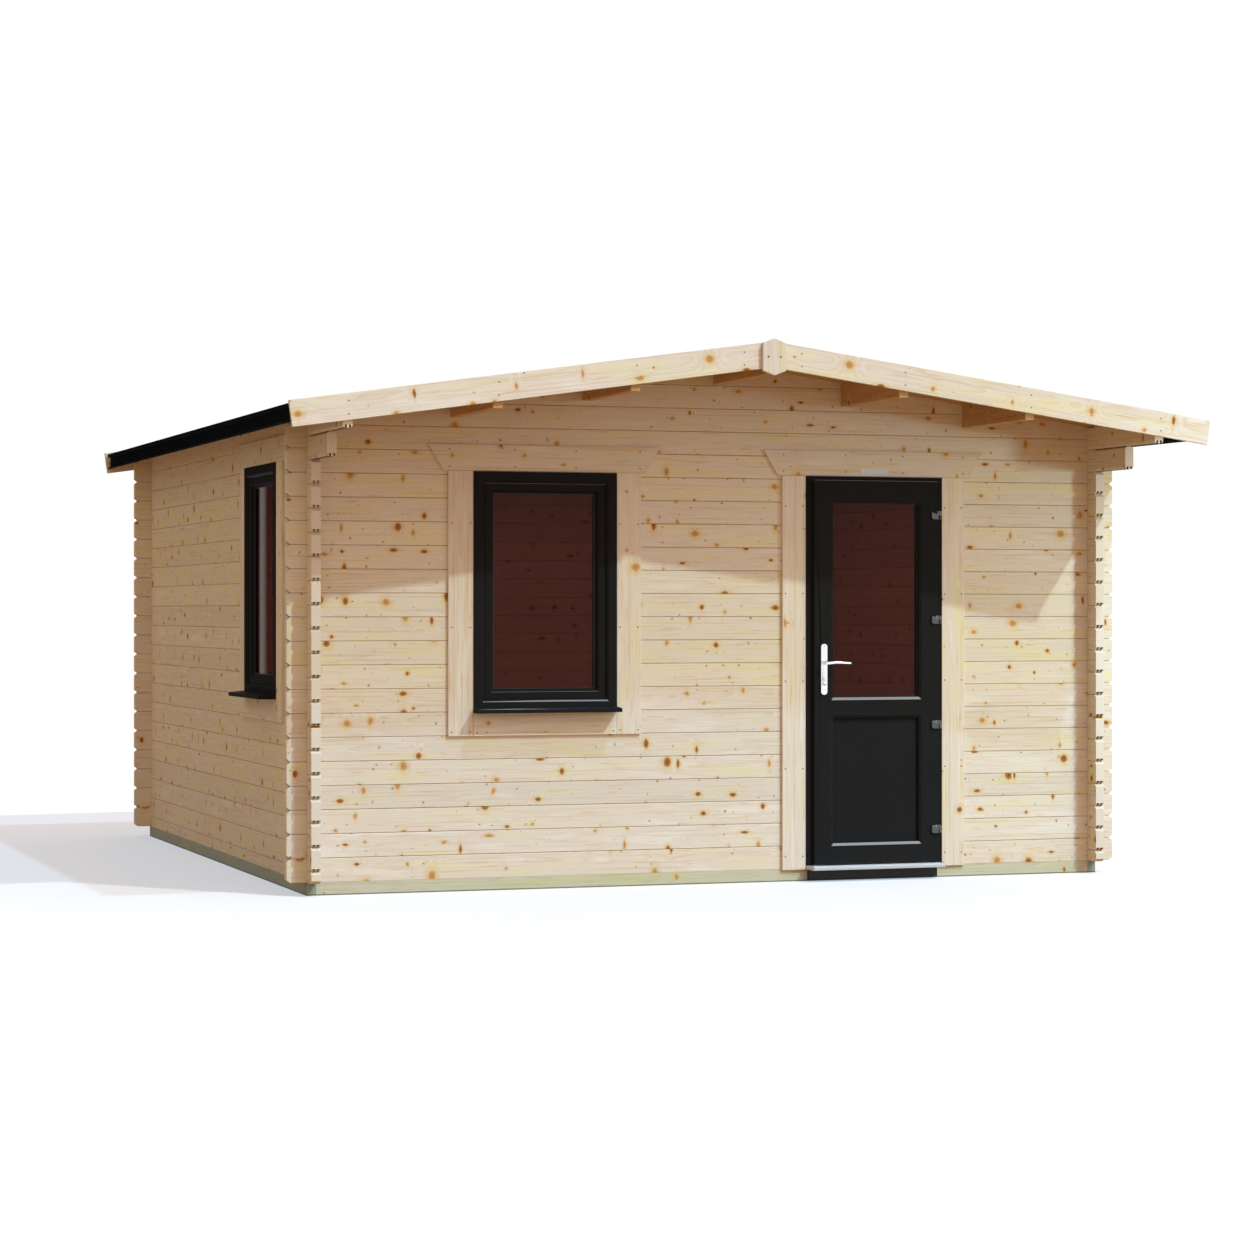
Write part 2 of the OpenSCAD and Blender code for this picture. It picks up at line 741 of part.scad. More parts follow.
// The opening for a pane, its glazing beads and the groove that holds it
module pane_cut(z0, z1) {
    h = z1 - z0;
    back = leaf_glass_back + glass_t;
    translate([0, leaf_face, (z0 + z1) / 2]) {
        centred_block(leaf_pane_w, h, -over, leaf_t + over);
        mitred_cut(leaf_pane_w, h, leaf_bead, 0, leaf_bead_d);
        translate([0, leaf_t, 0]) mirror([0, 1, 0])
            mitred_cut(leaf_pane_w, h, leaf_bead, 0, leaf_bead_d);
        centred_block(leaf_pane_w + 2 * glass_bite + 2 * groove_gap,
            h + 2 * glass_bite + 2 * groove_gap, leaf_glass_back, back);
    }
}
module pane(z0, z1) {
    translate([0, leaf_face, (z0 + z1) / 2]) centred_block(leaf_pane_w + 2 * glass_bite,
        z1 - z0 + 2 * glass_bite, leaf_glass_back, leaf_glass_back + glass_t);
}
spindle_x = -leaf_w / 2 + lever_in;
module at_spindle() {
    translate([spindle_x, 0, lever_z]) rotate([90, 0, 0]) children();
}
module door_leaf() {
    half = leaf_w / 2;
    body = half - flange_lap;
    color(frame_black) in_doorway() difference() {
        union() {
            block(-half, half, leaf_face, leaf_face + flange_t, leaf_bottom, leaf_top);
            block(-body, body, leaf_face, leaf_face + leaf_t, leaf_bottom,
                leaf_top - flange_lap);
        }
        pane_cut(glass_low, glass_high);
        pane_cut(panel_low, mid_rail_bottom);
        at_spindle() cylinder(r = spindle_r + spindle_gap, h = 4 * leaf_t, center = true);
    }
}
module door_glass() {
    color("#3e2220", 0.6) in_doorway() pane(glass_low, glass_high);
}
module door_panel() {
    color(frame_black) in_doorway() pane(panel_low, mid_rail_bottom);
}

// Four flag hinges: the flag's barrel turns on a pin that the bracket carries
hinge_x = leaf_w / 2 + hinge_side;
hinge_y = leaf_face - flag_t / 2;
hinge_n = 4;
hinge_places = [for (i = [0 : hinge_n - 1]) hinge_low + i * (hinge_high - hinge_low) / (hinge_n - 1)];
barrel_low = bracket_h + barrel_gap;
// The flag's plate on the leaf, rounded at its outer corners
module flag_plate() {
    left = -hinge_side - flag_w;
    translate([0, flag_t / 2, 0]) rotate([90, 0, 0]) linear_extrude(flag_t) {
        translate([left + flag_r, 0]) square([flag_w - flag_r, hinge_h]);
        translate([left, flag_r]) square([flag_w, hinge_h - 2 * flag_r]);
        for (z = [flag_r, hinge_h - flag_r]) translate([left + flag_r, z]) circle(flag_r);
    }
}
module hinge_flags() {
    color(steel) in_doorway() for (z = hinge_places) translate([hinge_x, hinge_y, z - hinge_h / 2])
        difference() {
            union() {
                flag_plate();
                block(-hinge_side - over, 0, -flag_t / 2, flag_t / 2, barrel_low, hinge_h);
                translate([0, 0, barrel_low]) cylinder(r = barrel_r, h = hinge_h - barrel_low);
            }
            cylinder(r = pin_r + pin_gap, h = 4 * hinge_h, center = true);
        }
}
module hinge_brackets() {
    neck = barrel_r * 0.6;
    color(steel) in_doorway() for (z = hinge_places)
        translate([hinge_x, hinge_y, z - hinge_h / 2]) {
            cylinder(r = barrel_r, h = bracket_h);
            cylinder(r = pin_r, h = hinge_h);
            block(-neck, neck, 0, -hinge_y - pin_r / 2, 0, bracket_h);
            block(-neck, bracket_out, -hinge_y - pin_r, -hinge_y, 0, bracket_h);
        }
}

// Long backplates inside and outside, with rounded ends
module backplate() {
    mid = lever_z - lever_up;
    straight = plate_h - plate_w;
    difference() {
        union() {
            block(spindle_x - plate_w / 2, spindle_x + plate_w / 2, leaf_face - plate_t,
                leaf_face, mid - straight / 2, mid + straight / 2);
            for (end = [-1, 1]) translate([spindle_x, leaf_face, mid + end * straight / 2])
                rotate([90, 0, 0]) cylinder(r = plate_w / 2, h = plate_t);
        }
        at_spindle() cylinder(r = spindle_r + pin_gap, h = 4 * leaf_t, center = true);
        translate([spindle_x, leaf_face - plate_t + lock_d, lever_z - lock_drop])
            rotate([90, 0, 0]) cylinder(r = lock_r, h = 2 * lock_d);
    }
}
module to_inside() {
    translate([0, 2 * leaf_face + leaf_t, 0]) mirror([0, 1, 0]) children();
}
module handle_plates() {
    color(steel) in_doorway() {
        backplate();
        to_inside() backplate();
    }
}
module lever() {
    face = leaf_face - plate_t - lever_gap;
    bend = lever_r * 0.4;
    translate([spindle_x, face, lever_z]) {
        rotate([90, 0, 0]) cylinder(r = neck_r, h = neck_l);
        translate([0, -neck_l, 0]) {
            hull() {
                sphere(r = neck_r, $fn = 24);
                translate([lever_l * 0.35, -bend, bend]) sphere(r = lever_r, $fn = 24);
            }
            hull() {
                translate([lever_l * 0.35, -bend, bend]) sphere(r = lever_r, $fn = 24);
                translate([lever_l - lever_r, bend, 0]) sphere(r = lever_r * 0.85, $fn = 24);
            }
        }
    }
}
module door_levers() {
    color(steel) in_doorway() {
        lever();
        to_inside() lever();
        translate([0, leaf_face + leaf_t / 2, 0]) at_spindle()
            cylinder(r = spindle_r, h = leaf_t + 2 * plate_t + 4 * lever_gap, center = true);
    }
}

base_front();
base_back();
base_left();
base_right();
floor_bearers();
floor_boards();
front_wall_left();
front_wall_right();
front_gable();
back_wall();
left_wall();
right_wall();
ridge_purlin();
purlins();
roof_boards_left();
roof_boards_right();
roof_covering();
eaves_trim_left();
eaves_trim_right();
bargeboard_front_left();
bargeboard_front_right();
bargeboard_back_left();
bargeboard_back_right();
finial_front();
finial_back();
front_window_frame();
front_window_sash();
front_window_glass();
front_window_sill();
front_window_trim();
side_window_frame();
side_window_sash();
side_window_glass();
side_window_sill();
side_window_trim();
door_frame();
door_threshold();
door_trim();
hinge_brackets();
door_leaf();
door_glass();
door_panel();
hinge_flags();
handle_plates();
door_levers();
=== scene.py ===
"""Dresses the log cabin's solids: boards, fixings, seals and finishes, all in metres."""
import math
from functools import partial

import bmesh
import bpy
from mathutils import Euler, Matrix, Vector


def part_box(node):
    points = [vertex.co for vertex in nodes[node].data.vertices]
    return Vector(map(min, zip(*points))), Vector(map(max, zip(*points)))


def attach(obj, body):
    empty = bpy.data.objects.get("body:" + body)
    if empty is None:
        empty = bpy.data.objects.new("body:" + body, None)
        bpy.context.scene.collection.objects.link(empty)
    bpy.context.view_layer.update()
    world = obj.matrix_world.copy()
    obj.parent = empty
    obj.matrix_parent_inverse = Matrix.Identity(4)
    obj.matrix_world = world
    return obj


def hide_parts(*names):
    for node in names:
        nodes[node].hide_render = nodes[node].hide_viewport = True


bl_info = {
    "name": "Log Cabin",
    "version": (1, 0, 0),
    "blender": (4, 5, 0),
    "location": "View3D > Sidebar > Log Cabin",
    "description": "Adds the boards, fixings, seals and finishes of a log cabin",
    "category": "Object",
}

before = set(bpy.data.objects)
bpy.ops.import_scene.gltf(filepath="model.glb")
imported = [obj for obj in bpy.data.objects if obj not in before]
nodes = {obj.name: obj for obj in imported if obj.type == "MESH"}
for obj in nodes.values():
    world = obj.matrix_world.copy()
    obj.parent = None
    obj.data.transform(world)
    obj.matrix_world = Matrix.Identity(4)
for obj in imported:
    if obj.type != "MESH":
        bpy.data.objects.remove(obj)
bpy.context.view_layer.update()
FINISHES = {}


def corners(node):
    """A CAD node's lowest and highest corner."""
    low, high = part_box(node)
    return Vector(low), Vector(high)


# Walls: the front wall's left part stands this many courses high, up to the gable
COURSES = 17
WALL_LOW, WALL_HIGH = corners("front_wall_left")
BASE_TOP = WALL_LOW.z
LOG_H = (WALL_HIGH.z - BASE_TOP) / COURSES
# Middle of a wall's thickness from the cabin's middle, the grooves on both sides of it, which
# show in the log ends, and half the width of a groove and of the line between two logs
WALL_MIDDLE = abs(WALL_LOW.y + WALL_HIGH.y) / 2
GROOVE_PLACE = 0.0094
GROOVE_HALF = 0.0050
JOINT_HALF = 0.0009

# Roof: a slope's boards rise from the low eave edge to the ridge, and are as thick at both ends
BOARDS_LOW, BOARDS_HIGH = corners("roof_boards_right")
EAVE_X = BOARDS_HIGH.x
ROOF_FRONT, ROOF_BACK = BOARDS_LOW.y, BOARDS_HIGH.y
PURLIN_TOP = corners("ridge_purlin")[1].z
PITCH = math.atan2(PURLIN_TOP - BOARDS_LOW.z, EAVE_X)
SLOPE = math.tan(PITCH)
BOARD_RISE = BOARDS_HIGH.z - PURLIN_TOP
COVER_TOP = corners("roof_covering")[1].z
# Where the membrane's ridge strip and laps start, from the ridge, and the strip's width
LAP_STARTS = (0.0, 0.72, 1.46)
RIDGE_STRIP = 0.16
# Nails along a bargeboard, from the ridge, and down from its top edge, and the screws in a
# finial, from its middle
BARGE_NAILS = (0.14, 0.655, 1.298, 1.978)
BARGE_ROWS = (0.034, 0.092)
FINIAL_SCREWS = (-0.030, 0.030)
# Screw heads' diameter and height, in a finial and in a handle plate
FINIAL_SCREW = (0.010, 0.0012)
PLATE_SCREW = (0.0045, 0.0006)

# Wood: the growth rings' spacing and bulge round a knot, then for large and for pin knots their
# spacing and their least and most radius
RING_GAP = 0.0048
RING_BULGE = 0.012
LIMB_KNOTS = (0.160, 0.0052, 0.0175)
PIN_KNOTS = (0.076, 0.0020, 0.0044)

# Trims: gap to the frame, joint between boards, and slant of the head board's ends
TRIM_GAP = 0.0005
TRIM_JOINT = 0.0006
HEAD_SLANT = 0.072
# Their nails: how far in from an edge and how far proud. In a side board, the lowest one's
# height, their spacing and how many. In a head or foot board, the shares of its length
NAIL_IN = 0.016
NAIL_RISE = 0.0009
DOOR_NAILS = (0.065, 0.4205, 5)
WINDOW_NAILS = (0.020, 0.484, 3)
HEAD_NAILS = (0.03, 0.35, 0.65, 0.97)
FOOT_NAILS = (0.025, 0.5, 0.975)

# Glazing seals: from the pane's edge to the seal, and its thickness
SEAL_IN = 0.0082
SEAL_T = 0.002

# Threshold: how far the sill ends short of its solid at the right, the ribs' height and
# spacing, and how far the black block under the sill, a painted shadow, stands in at each end
SILL_SHORT = 0.024
RIB_RISE = 0.001
RIB_GAP = 0.009
SHADOW_BLOCK_IN = 0.012
# Blank plate over the door: width, height, thickness, and how far above the door frame
PLATE = (0.147, 0.029, 0.001)
PLATE_UP = 0.010

# A point this near an edge is on it, a direction this much along an axis follows it, and
# points of a solid closer than the last are one
NEAR = 0.001
ALONG = 0.9
SAME = 0.00002

# Turns a fixing that looks to the front so that it looks back, or out of the left wall
TO_BACK = Matrix.Rotation(math.pi, 4, "Z")
TO_LEFT_WALL = Matrix.Rotation(math.radians(-90), 4, "Z")


def linear(text):
    """An sRGB hex colour as linear numbers."""
    parts = [int(text[i:i + 2], 16) / 255 for i in (1, 3, 5)]
    return tuple(c / 12.92 if c <= 0.04045 else ((c + 0.055) / 1.055) ** 2.4 for c in parts)


# What a user may change: lengths and colours
Length = partial(bpy.props.FloatProperty, unit="LENGTH")
Colour = partial(bpy.props.FloatVectorProperty, subtype="COLOR", size=3, min=0, max=1)


class CabinSizes(bpy.types.PropertyGroup):
    plank_cover: Length(name="Roof board cover", default=0.0906,
                        description="Width that each roof board covers")
    floor_cover: Length(name="Floorboard cover", default=0.1115,
                        description="Width that each floorboard covers")
    board_v: Length(name="Board groove", default=0.004,
                    description="Chamfer along a roof board's lower edges")
    board_gap: Length(name="Board gap", default=0.0008,
                      description="Gap between neighbouring boards")
    ease: Length(name="Eased edge", default=0.0018,
                 description="Rounding along the edges of planed trim boards")
    nail_d: Length(name="Nail head", default=0.0075, description="Diameter of a nail head")
    felt_t: Length(name="Membrane lap", default=0.002,
                   description="Thickness of a lap in the roof membrane")
    felt_lap: Length(name="Lap width", default=0.08,
                     description="Width of a lap in the roof membrane")
    seal_w: Length(name="Glazing seal", default=0.0035,
                   description="Width of the rubber seal that shows round the glass")


class CabinColours(bpy.types.PropertyGroup):
    pine: Colour(name="Pine", default=linear("#e0d2c0"), description="Planed spruce and pine")
    ring: Colour(name="Growth rings", default=linear("#ceaf85"),
                 description="Late wood in the growth rings")
    knot: Colour(name="Knots", default=linear("#ab6a30"), description="Live knots")
    treated: Colour(name="Treated pine", default=linear("#c8c2a6"),
                    description="Pressure-treated base")
    anthracite: Colour(name="Window foil", default=linear("#222121"),
                       description="Foil on the window and door profiles")
    glass: Colour(name="Glass tint", default=linear("#683b37"),
                  description="Colour that the sealed units let through")


# ---- Finishes ----

def add(tree, kind, *feeds, stops=(), **settings):
    """Adds a shader node. Feeds go to its sockets in order: a number, a colour, a socket or
    another node's first output. Settings are the node's own, or sockets by name. Stops are a
    colour ramp's: place, colour and, where it isn't solid, alpha."""
    made = tree.nodes.new("ShaderNode" + kind)
    for name, value in settings.items():
        if hasattr(made, name):
            setattr(made, name, value)
    named = [(made.inputs[n.replace("_", " ")], v) for n, v in settings.items()
             if not hasattr(made, n)]
    for socket, feed in list(zip(made.inputs, feeds)) + named:
        if isinstance(feed, bpy.types.Node):
            feed = feed.outputs[0]
        if isinstance(feed, bpy.types.NodeSocket):
            tree.links.new(feed, socket)
        elif isinstance(feed, (tuple, list, Vector)) and socket.type == "RGBA":
            socket.default_value = (*feed[:3], 1)
        else:
            socket.default_value = feed
    for number, (spot, tone, *alpha) in enumerate(stops):
        band = made.color_ramp.elements
        element = band[number] if number < 2 else band.new(1.0)
        element.position = spot
        element.color = (*tone[:3], *(alpha or [1]))
    return made


def material(name):
    """Starts a material. Gives the call that adds its nodes, and the call that ends it with
    its shader's values and links and returns it."""
    made = bpy.data.materials.new(name)
    made.use_nodes = True
    made.node_tree.nodes.clear()
    put = partial(add, made.node_tree)

    def shaded(**sockets):
        put("OutputMaterial", put("BsdfPrincipled", **sockets))
        return made

    return put, shaded


def tinted(tone, *shares):
    """A colour with its parts scaled, each by its own share or all by one."""
    return tuple(min(1.0, part * share) for part, share in zip(tone, shares * 3))


def pine(name, turn=(0, 0, 0), course=0.42, first=0.0, pale=None, dark=None, core=0.0,
         limbs=0.80, pins=0.42, cores=0.5, foot=0.0, seed=0.0):
    """Planed pine. The grain runs along X once turned, and boards lie side by side along Z,
    one course each from first up. Gives a cream ground in yellow and pink drifts, faint growth
    rings that flow round orange knots with soft yellow halos, small dark pin knots, and ring
    arcs across the ends, which are painted a little paler as painted light. Limbs and pins are
    the shares of the knots that show, and cores the share of the large ones with a dark heart.
    Core, the middle of a log wall, adds the logs' joints and a painted shade inside the grooves
    in their ends. Below foot the wood is painted dark, a painted shadow along its bottom edge."""
    colours = bpy.context.scene.cabin_colours
    pale = pale or tuple(colours.pine)
    dark = dark or tuple(colours.ring)
    put, shaded = material(name)
    turn = Euler([math.radians(a) for a in turn])

    place = put("TexCoord")
    grain = put("Mapping", place.outputs["Object"], Rotation=turn)
    facing = put("Mapping", place.outputs["Normal"], vector_type="NORMAL", Rotation=turn)
    depth, across = put("SeparateXYZ", grain).outputs[1:]
    level = put("Math", put("Math", across, first, operation="SUBTRACT"), course,
                operation="DIVIDE")
    number = put("Math", level, operation="FLOOR")
    chance = put("TexWhiteNoise", W=put("Math", number, 0.37 + seed, operation="ADD"),
                 noise_dimensions="1D").outputs["Color"]
    one, two, three = put("SeparateColor", chance).outputs
    # Every board is cut from its own stretch of the pattern
    own = put("VectorMath", chance, (37.0, 0.0, 11.0), grain, operation="MULTIPLY_ADD")

    def flat(amount, scale):
        """The board's face as a plane, with its points pushed about by up to that amount."""
        push = put("TexNoise", own, Scale=scale).outputs["Color"]
        moved = put("VectorMath", push, amount, own, operation="MULTIPLY_ADD")
        moved = put("VectorMath", moved, tuple(a / 2 for a in amount), operation="SUBTRACT")
        x, _, z = put("SeparateXYZ", moved).outputs
        return put("CombineXYZ", x, z, 0.0)

    # Knots are out of round by a few millimetres, and their halos by a centimetre or two
    face = flat((0.0056, 0.0, 0.0044), 85.0)
    haze = flat((0.028, 0.0, 0.020), 38.0)

    def knots(spacing, least, most):
        """The nearest knot: its place, its radii along and across the grain, and its chances."""
        cells = put("TexVoronoi", face, voronoi_dimensions="2D", Scale=1 / spacing,
                    Randomness=0.9)
        pick = cells.outputs["Color"]
        radii = put("VectorMath", put("VectorMath", pick, pick, operation="MULTIPLY"),
                    (most - least, most * 1.15 - least, 0.0), (least, least, 1.0),
                    operation="MULTIPLY_ADD")
        return cells.outputs["Position"], radii, put("SeparateColor", pick).outputs

    def near(points, knot, stretch=(1.0, 1.0, 1.0)):
        """The distance from a knot in its own radii, which may be stretched."""
        off = put("VectorMath", points, knot[0], operation="SUBTRACT")
        reach = put("VectorMath", knot[1], stretch, operation="MULTIPLY")
        share = put("VectorMath", off, reach, operation="DIVIDE")
        return put("VectorMath", share, operation="LENGTH").outputs["Value"]

    limb = knots(*LIMB_KNOTS)
    limb_shown = put("Math", limb[2][2], limbs, operation="LESS_THAN")
    limb_hard = put("Math", limb[2][2], limbs * cores, operation="LESS_THAN")
    pin = knots(*PIN_KNOTS)
    pin_shown = put("Math", put("Math", pin[2][0], 0.6, 0.4, operation="MULTIPLY_ADD"),
                    put("Math", pin[2][2], pins, operation="LESS_THAN"), operation="MULTIPLY")
    close = near(face, limb)

    # Growth rings round the heart of the tree, 30 to 75 mm under the face, wave slowly along
    # the board and swell round its knots
    slow = put("TexNoise", put("VectorMath", own, (1.3, 9.0, 9.0), operation="MULTIPLY"),
               Scale=1.0, Roughness=0.45)
    wave = put("Math", slow, 0.030, -0.015, operation="MULTIPLY_ADD")
    middle = put("Math", put("Math", number, course, first + course / 2,
                             operation="MULTIPLY_ADD"),
                 put("Math", three, 0.07, -0.035, operation="MULTIPLY_ADD"), operation="ADD")
    off_v = put("Math", put("Math", across, middle, operation="SUBTRACT"), wave,
                operation="ADD")
    off_w = put("Math", put("Math", put("Math", depth, 0.5, operation="PINGPONG"), wave,
                            operation="ADD"),
                put("Math", two, 0.045, 0.03, operation="MULTIPLY_ADD"), operation="SUBTRACT")
    swell = put("Math", put("Math", close, 3.2, operation="DIVIDE"), 2.0, operation="POWER")
    swell = put("Math", 0.43, swell, operation="POWER")
    swell = put("Math", put("Math", swell, limb_shown, operation="MULTIPLY"), RING_BULGE,
                operation="MULTIPLY")
    radius = put("VectorMath", put("CombineXYZ", off_v, off_w, 0.0),
                 operation="LENGTH").outputs["Value"]
    rings = put("Math", put("Math", radius, swell, operation="ADD"), RING_GAP,
                operation="DIVIDE")
    late = put("Math", put("Math", rings, operation="FRACT"), 2.6, operation="POWER")

    # Ground: drifts a few hands long, then fine fibres and streaks of resin-rich wood
    drifts = put("TexNoise", put("VectorMath", own, (2.4, 12.0, 18.0), operation="MULTIPLY"),
                 Scale=1.0)
    lean = put("Math", two, 0.16, -0.08, operation="MULTIPLY_ADD")
    ground = put("ValToRGB", put("Math", drifts, lean, operation="ADD"),
                 stops=((0.34, tinted(pale, 1.01, 1.00, 0.80)), (0.48, pale),
                        (0.58, tinted(pale, 0.985, 0.95, 0.95)),
                        (0.70, tinted(pale, 1.05, 1.07, 1.12))))
    ringed = put("Math", late, put("Math", three, 0.34, 0.12, operation="MULTIPLY_ADD"),
                 operation="MULTIPLY")
    body = put("MixRGB", ringed, ground, dark)
    fibre = put("TexNoise", put("VectorMath", own, (1.5, 110.0, 110.0), operation="MULTIPLY"),
                Scale=1.0, Roughness=0.6)
    lines = put("ValToRGB", fibre, stops=((0.30, dark, 0.62), (0.45, dark, 0.0)))
    body = put("MixRGB", lines.outputs["Alpha"], body, lines)
    resin = put("TexNoise", put("VectorMath", own, (6.5, 60.0, 75.0), operation="MULTIPLY"),
                Scale=1.0)
    glow = tinted(pale, 0.90, 0.62, 0.36)
    resin = put("ValToRGB", resin, stops=((0.60, glow, 0.0), (0.74, glow, 0.60)))
    body = put("MixRGB", resin.outputs["Alpha"], body, resin)
    tone = put("Math", one, 0.08, 0.955, operation="MULTIPLY_ADD")
    body = put("MixRGB", 1.0, body, put("CombineColor", tone, tone, tone),
               blend_type="MULTIPLY")

    # Sawn ends show the ring arcs clear, and are painted a little paler: painted light that
    # brightens them in the shade
    endwise = put("Math", put("SeparateXYZ", facing), operation="ABSOLUTE")
    ends = put("Math", endwise, 0.75, operation="GREATER_THAN")
    sides = put("Math", 1.0, ends, operation="SUBTRACT")
    end_rings_painted_light = put("MixRGB", put("Math", late, 0.45, operation="MULTIPLY"),
               tinted(pale, 1.02, 1.03, 1.06), tinted(dark, 0.96, 0.98, 1.04))
    body = put("MixRGB", ends, body, end_rings_painted_light)

    # Each layer of a knot: its distance, how much it shows, and its colours over four radii.
    # A wide halo, a streak along the grain, a warm middle, a hard heart, and the pin knots
    amber, gold, straw = linear("#b87530"), linear("#cf9e52"), linear("#dcb973")
    layers = (
        (near(haze, limb), limb_shown,
         ((0.0, gold, 0.86), (0.22, gold, 0.80), (0.36, straw, 0.50), (0.80, straw, 0.0))),
        (near(haze, limb, (3.2, 0.8, 1.0)), limb_shown,
         ((0.0, amber, 0.26), (0.30, amber, 0.0))),
        (close, limb_shown,
         ((0.0, amber, 0.66), (0.16, amber, 0.55), (0.32, amber, 0.0))),
        (close, limb_hard,
         ((0.0, linear("#552c12"), 0.97), (0.07, linear("#85491d"), 0.96),
          (0.15, tuple(colours.knot), 0.92), (0.205, linear("#7a441c"), 0.88),
          (0.26, amber, 0.55), (0.36, amber, 0.0))),
        (near(face, pin), pin_shown,
         ((0.0, linear("#3f2a12"), 0.97), (0.18, linear("#5a4423"), 0.88),
          (0.28, linear("#ad8748"), 0.50), (0.70, linear("#cfae6c"), 0.0))),
    )
    for distance, shown, stops in layers:
        spot = put("ValToRGB", put("Math", distance, 0.25, operation="MULTIPLY"), stops=stops)
        shown = put("Math", shown, sides, operation="MULTIPLY")
        body = put("MixRGB", put("Math", spot.outputs["Alpha"], shown, operation="MULTIPLY"),
                   body, spot)
    if core:
        # The tight joint between two logs holds a hair of shade, browner than the wood
        seam = put("Math", put("Math", level, 0.5, operation="PINGPONG"), JOINT_HALF / course,
                   operation="LESS_THAN")
        seam = put("Math", put("Math", seam, sides, operation="MULTIPLY"), 0.85,
                   operation="MULTIPLY")
        body = put("MixRGB", seam, body, linear("#7a4320"))
        # The two grooves that show in a log's end are painted dark inside: painted shade in
        # their depth
        for offset in (core, GROOVE_PLACE):
            depth = put("Math", put("Math", depth, operation="ABSOLUTE"), offset,
                        operation="SUBTRACT")
        inside = put("Math", put("Math", depth, operation="ABSOLUTE"), GROOVE_HALF,
                     operation="LESS_THAN")
        groove_painted_shade = put("Math", inside, put("Math", endwise, 0.3, operation="LESS_THAN"),
                     operation="MULTIPLY")
        body = put("MixRGB", groove_painted_shade, body, linear("#2c190c"))
    if foot:
        # The bottom edge is painted dark: a painted shadow where the base meets the ground
        edge = put("Math", put("Math", across, foot, operation="LESS_THAN"), 0.7,
                   operation="MULTIPLY")
        body = put("MixRGB", edge, body, linear("#3d4238"))
    relief = put("Math", fibre, 2.0, late, operation="MULTIPLY_ADD")
    bump = put("Bump", Height=relief, Strength=0.15, Distance=0.0005)
    return shaded(Base_Color=body, Normal=bump, Roughness=0.6, IOR=1.5,
                  Specular_IOR_Level=0.22)


def make_woods():
    """Every cut of pine on the cabin, by name."""
    sizes = bpy.context.scene.cabin_sizes
    slope = math.degrees(PITCH)
    # Trims are cut from cleaner boards than the logs are, with soft knots if any
    clean = {"limbs": 0.22, "pins": 0.10, "cores": 0.25}
    fair = {"limbs": 0.55, "pins": 0.16, "cores": 0.2}
    barge = {"course": 0.5, "first": 2.2, **fair}
    # The roof boards and purlins are painted a deeper honey colour than the walls: painted
    # shade for the dark under the roof
    roof = {"pale": linear("#ba8c58"), "dark": linear("#a87542")}
    planks = {"course": sizes.plank_cover, "first": ROOF_FRONT, **roof}
    # The base is pressure treated: pale olive, painted greyer and darker at the sides as
    # painted shade, and painted dark along its foot as a painted shadow
    base = {"course": 0.2, "first": -0.07, "limbs": 0.25, "pins": 0.15, "cores": 0.3,
            "foot": 0.006}
    treated, side_painted_shade = tuple(bpy.context.scene.cabin_colours.treated), linear("#969b8e")
    return {
        "logs_x": pine("planed_pine_logs_front", course=LOG_H, first=BASE_TOP,
                       core=WALL_MIDDLE),
        "logs_y": pine("planed_pine_logs_side", (0, 0, -90), LOG_H, BASE_TOP + LOG_H / 2,
                       core=WALL_MIDDLE, seed=40.0),
        "trim_z": pine("planed_pine_upright_trim", (0, 90, 0), first=-1.485, **clean),
        "trim_x": pine("planed_pine_level_trim", first=0.5, **fair),
        "side_trim_z": pine("planed_pine_side_upright_trim", (90, 0, 90), first=-1.686,
                            **clean),
        "side_trim_y": pine("planed_pine_side_level_trim", (0, 0, -90), first=0.5, **fair),
        "barge_right": pine("planed_pine_bargeboard_right", (0, -slope, 0), **barge),
        "barge_left": pine("planed_pine_bargeboard_left", (0, slope, 0), **barge),
        "planks_right": pine("planed_pine_roof_right", (90, 0, -slope), **planks),
        "planks_left": pine("planed_pine_roof_left", (90, 0, slope), seed=9.0, **planks),
        "floor": pine("planed_pine_floor", (90, 0, 0), sizes.floor_cover,
                      corners("floor_boards")[0].y),
        # The purlins' deeper colour is painted shade as well
        "purlins": pine("planed_pine_purlins", (0, 0, -90), 0.6, 1.9, linear("#c4996a"),
                        roof["dark"]),
        "treated_x": pine("treated_pine_base_front", pale=treated,
                          dark=tinted(treated, 0.72), **base),
        "treated_y_painted_shade": pine("treated_pine_base_side_painted_shade", (0, 0, -90), pale=side_painted_shade,
                          dark=tinted(side_painted_shade, 0.72), **base),
    }


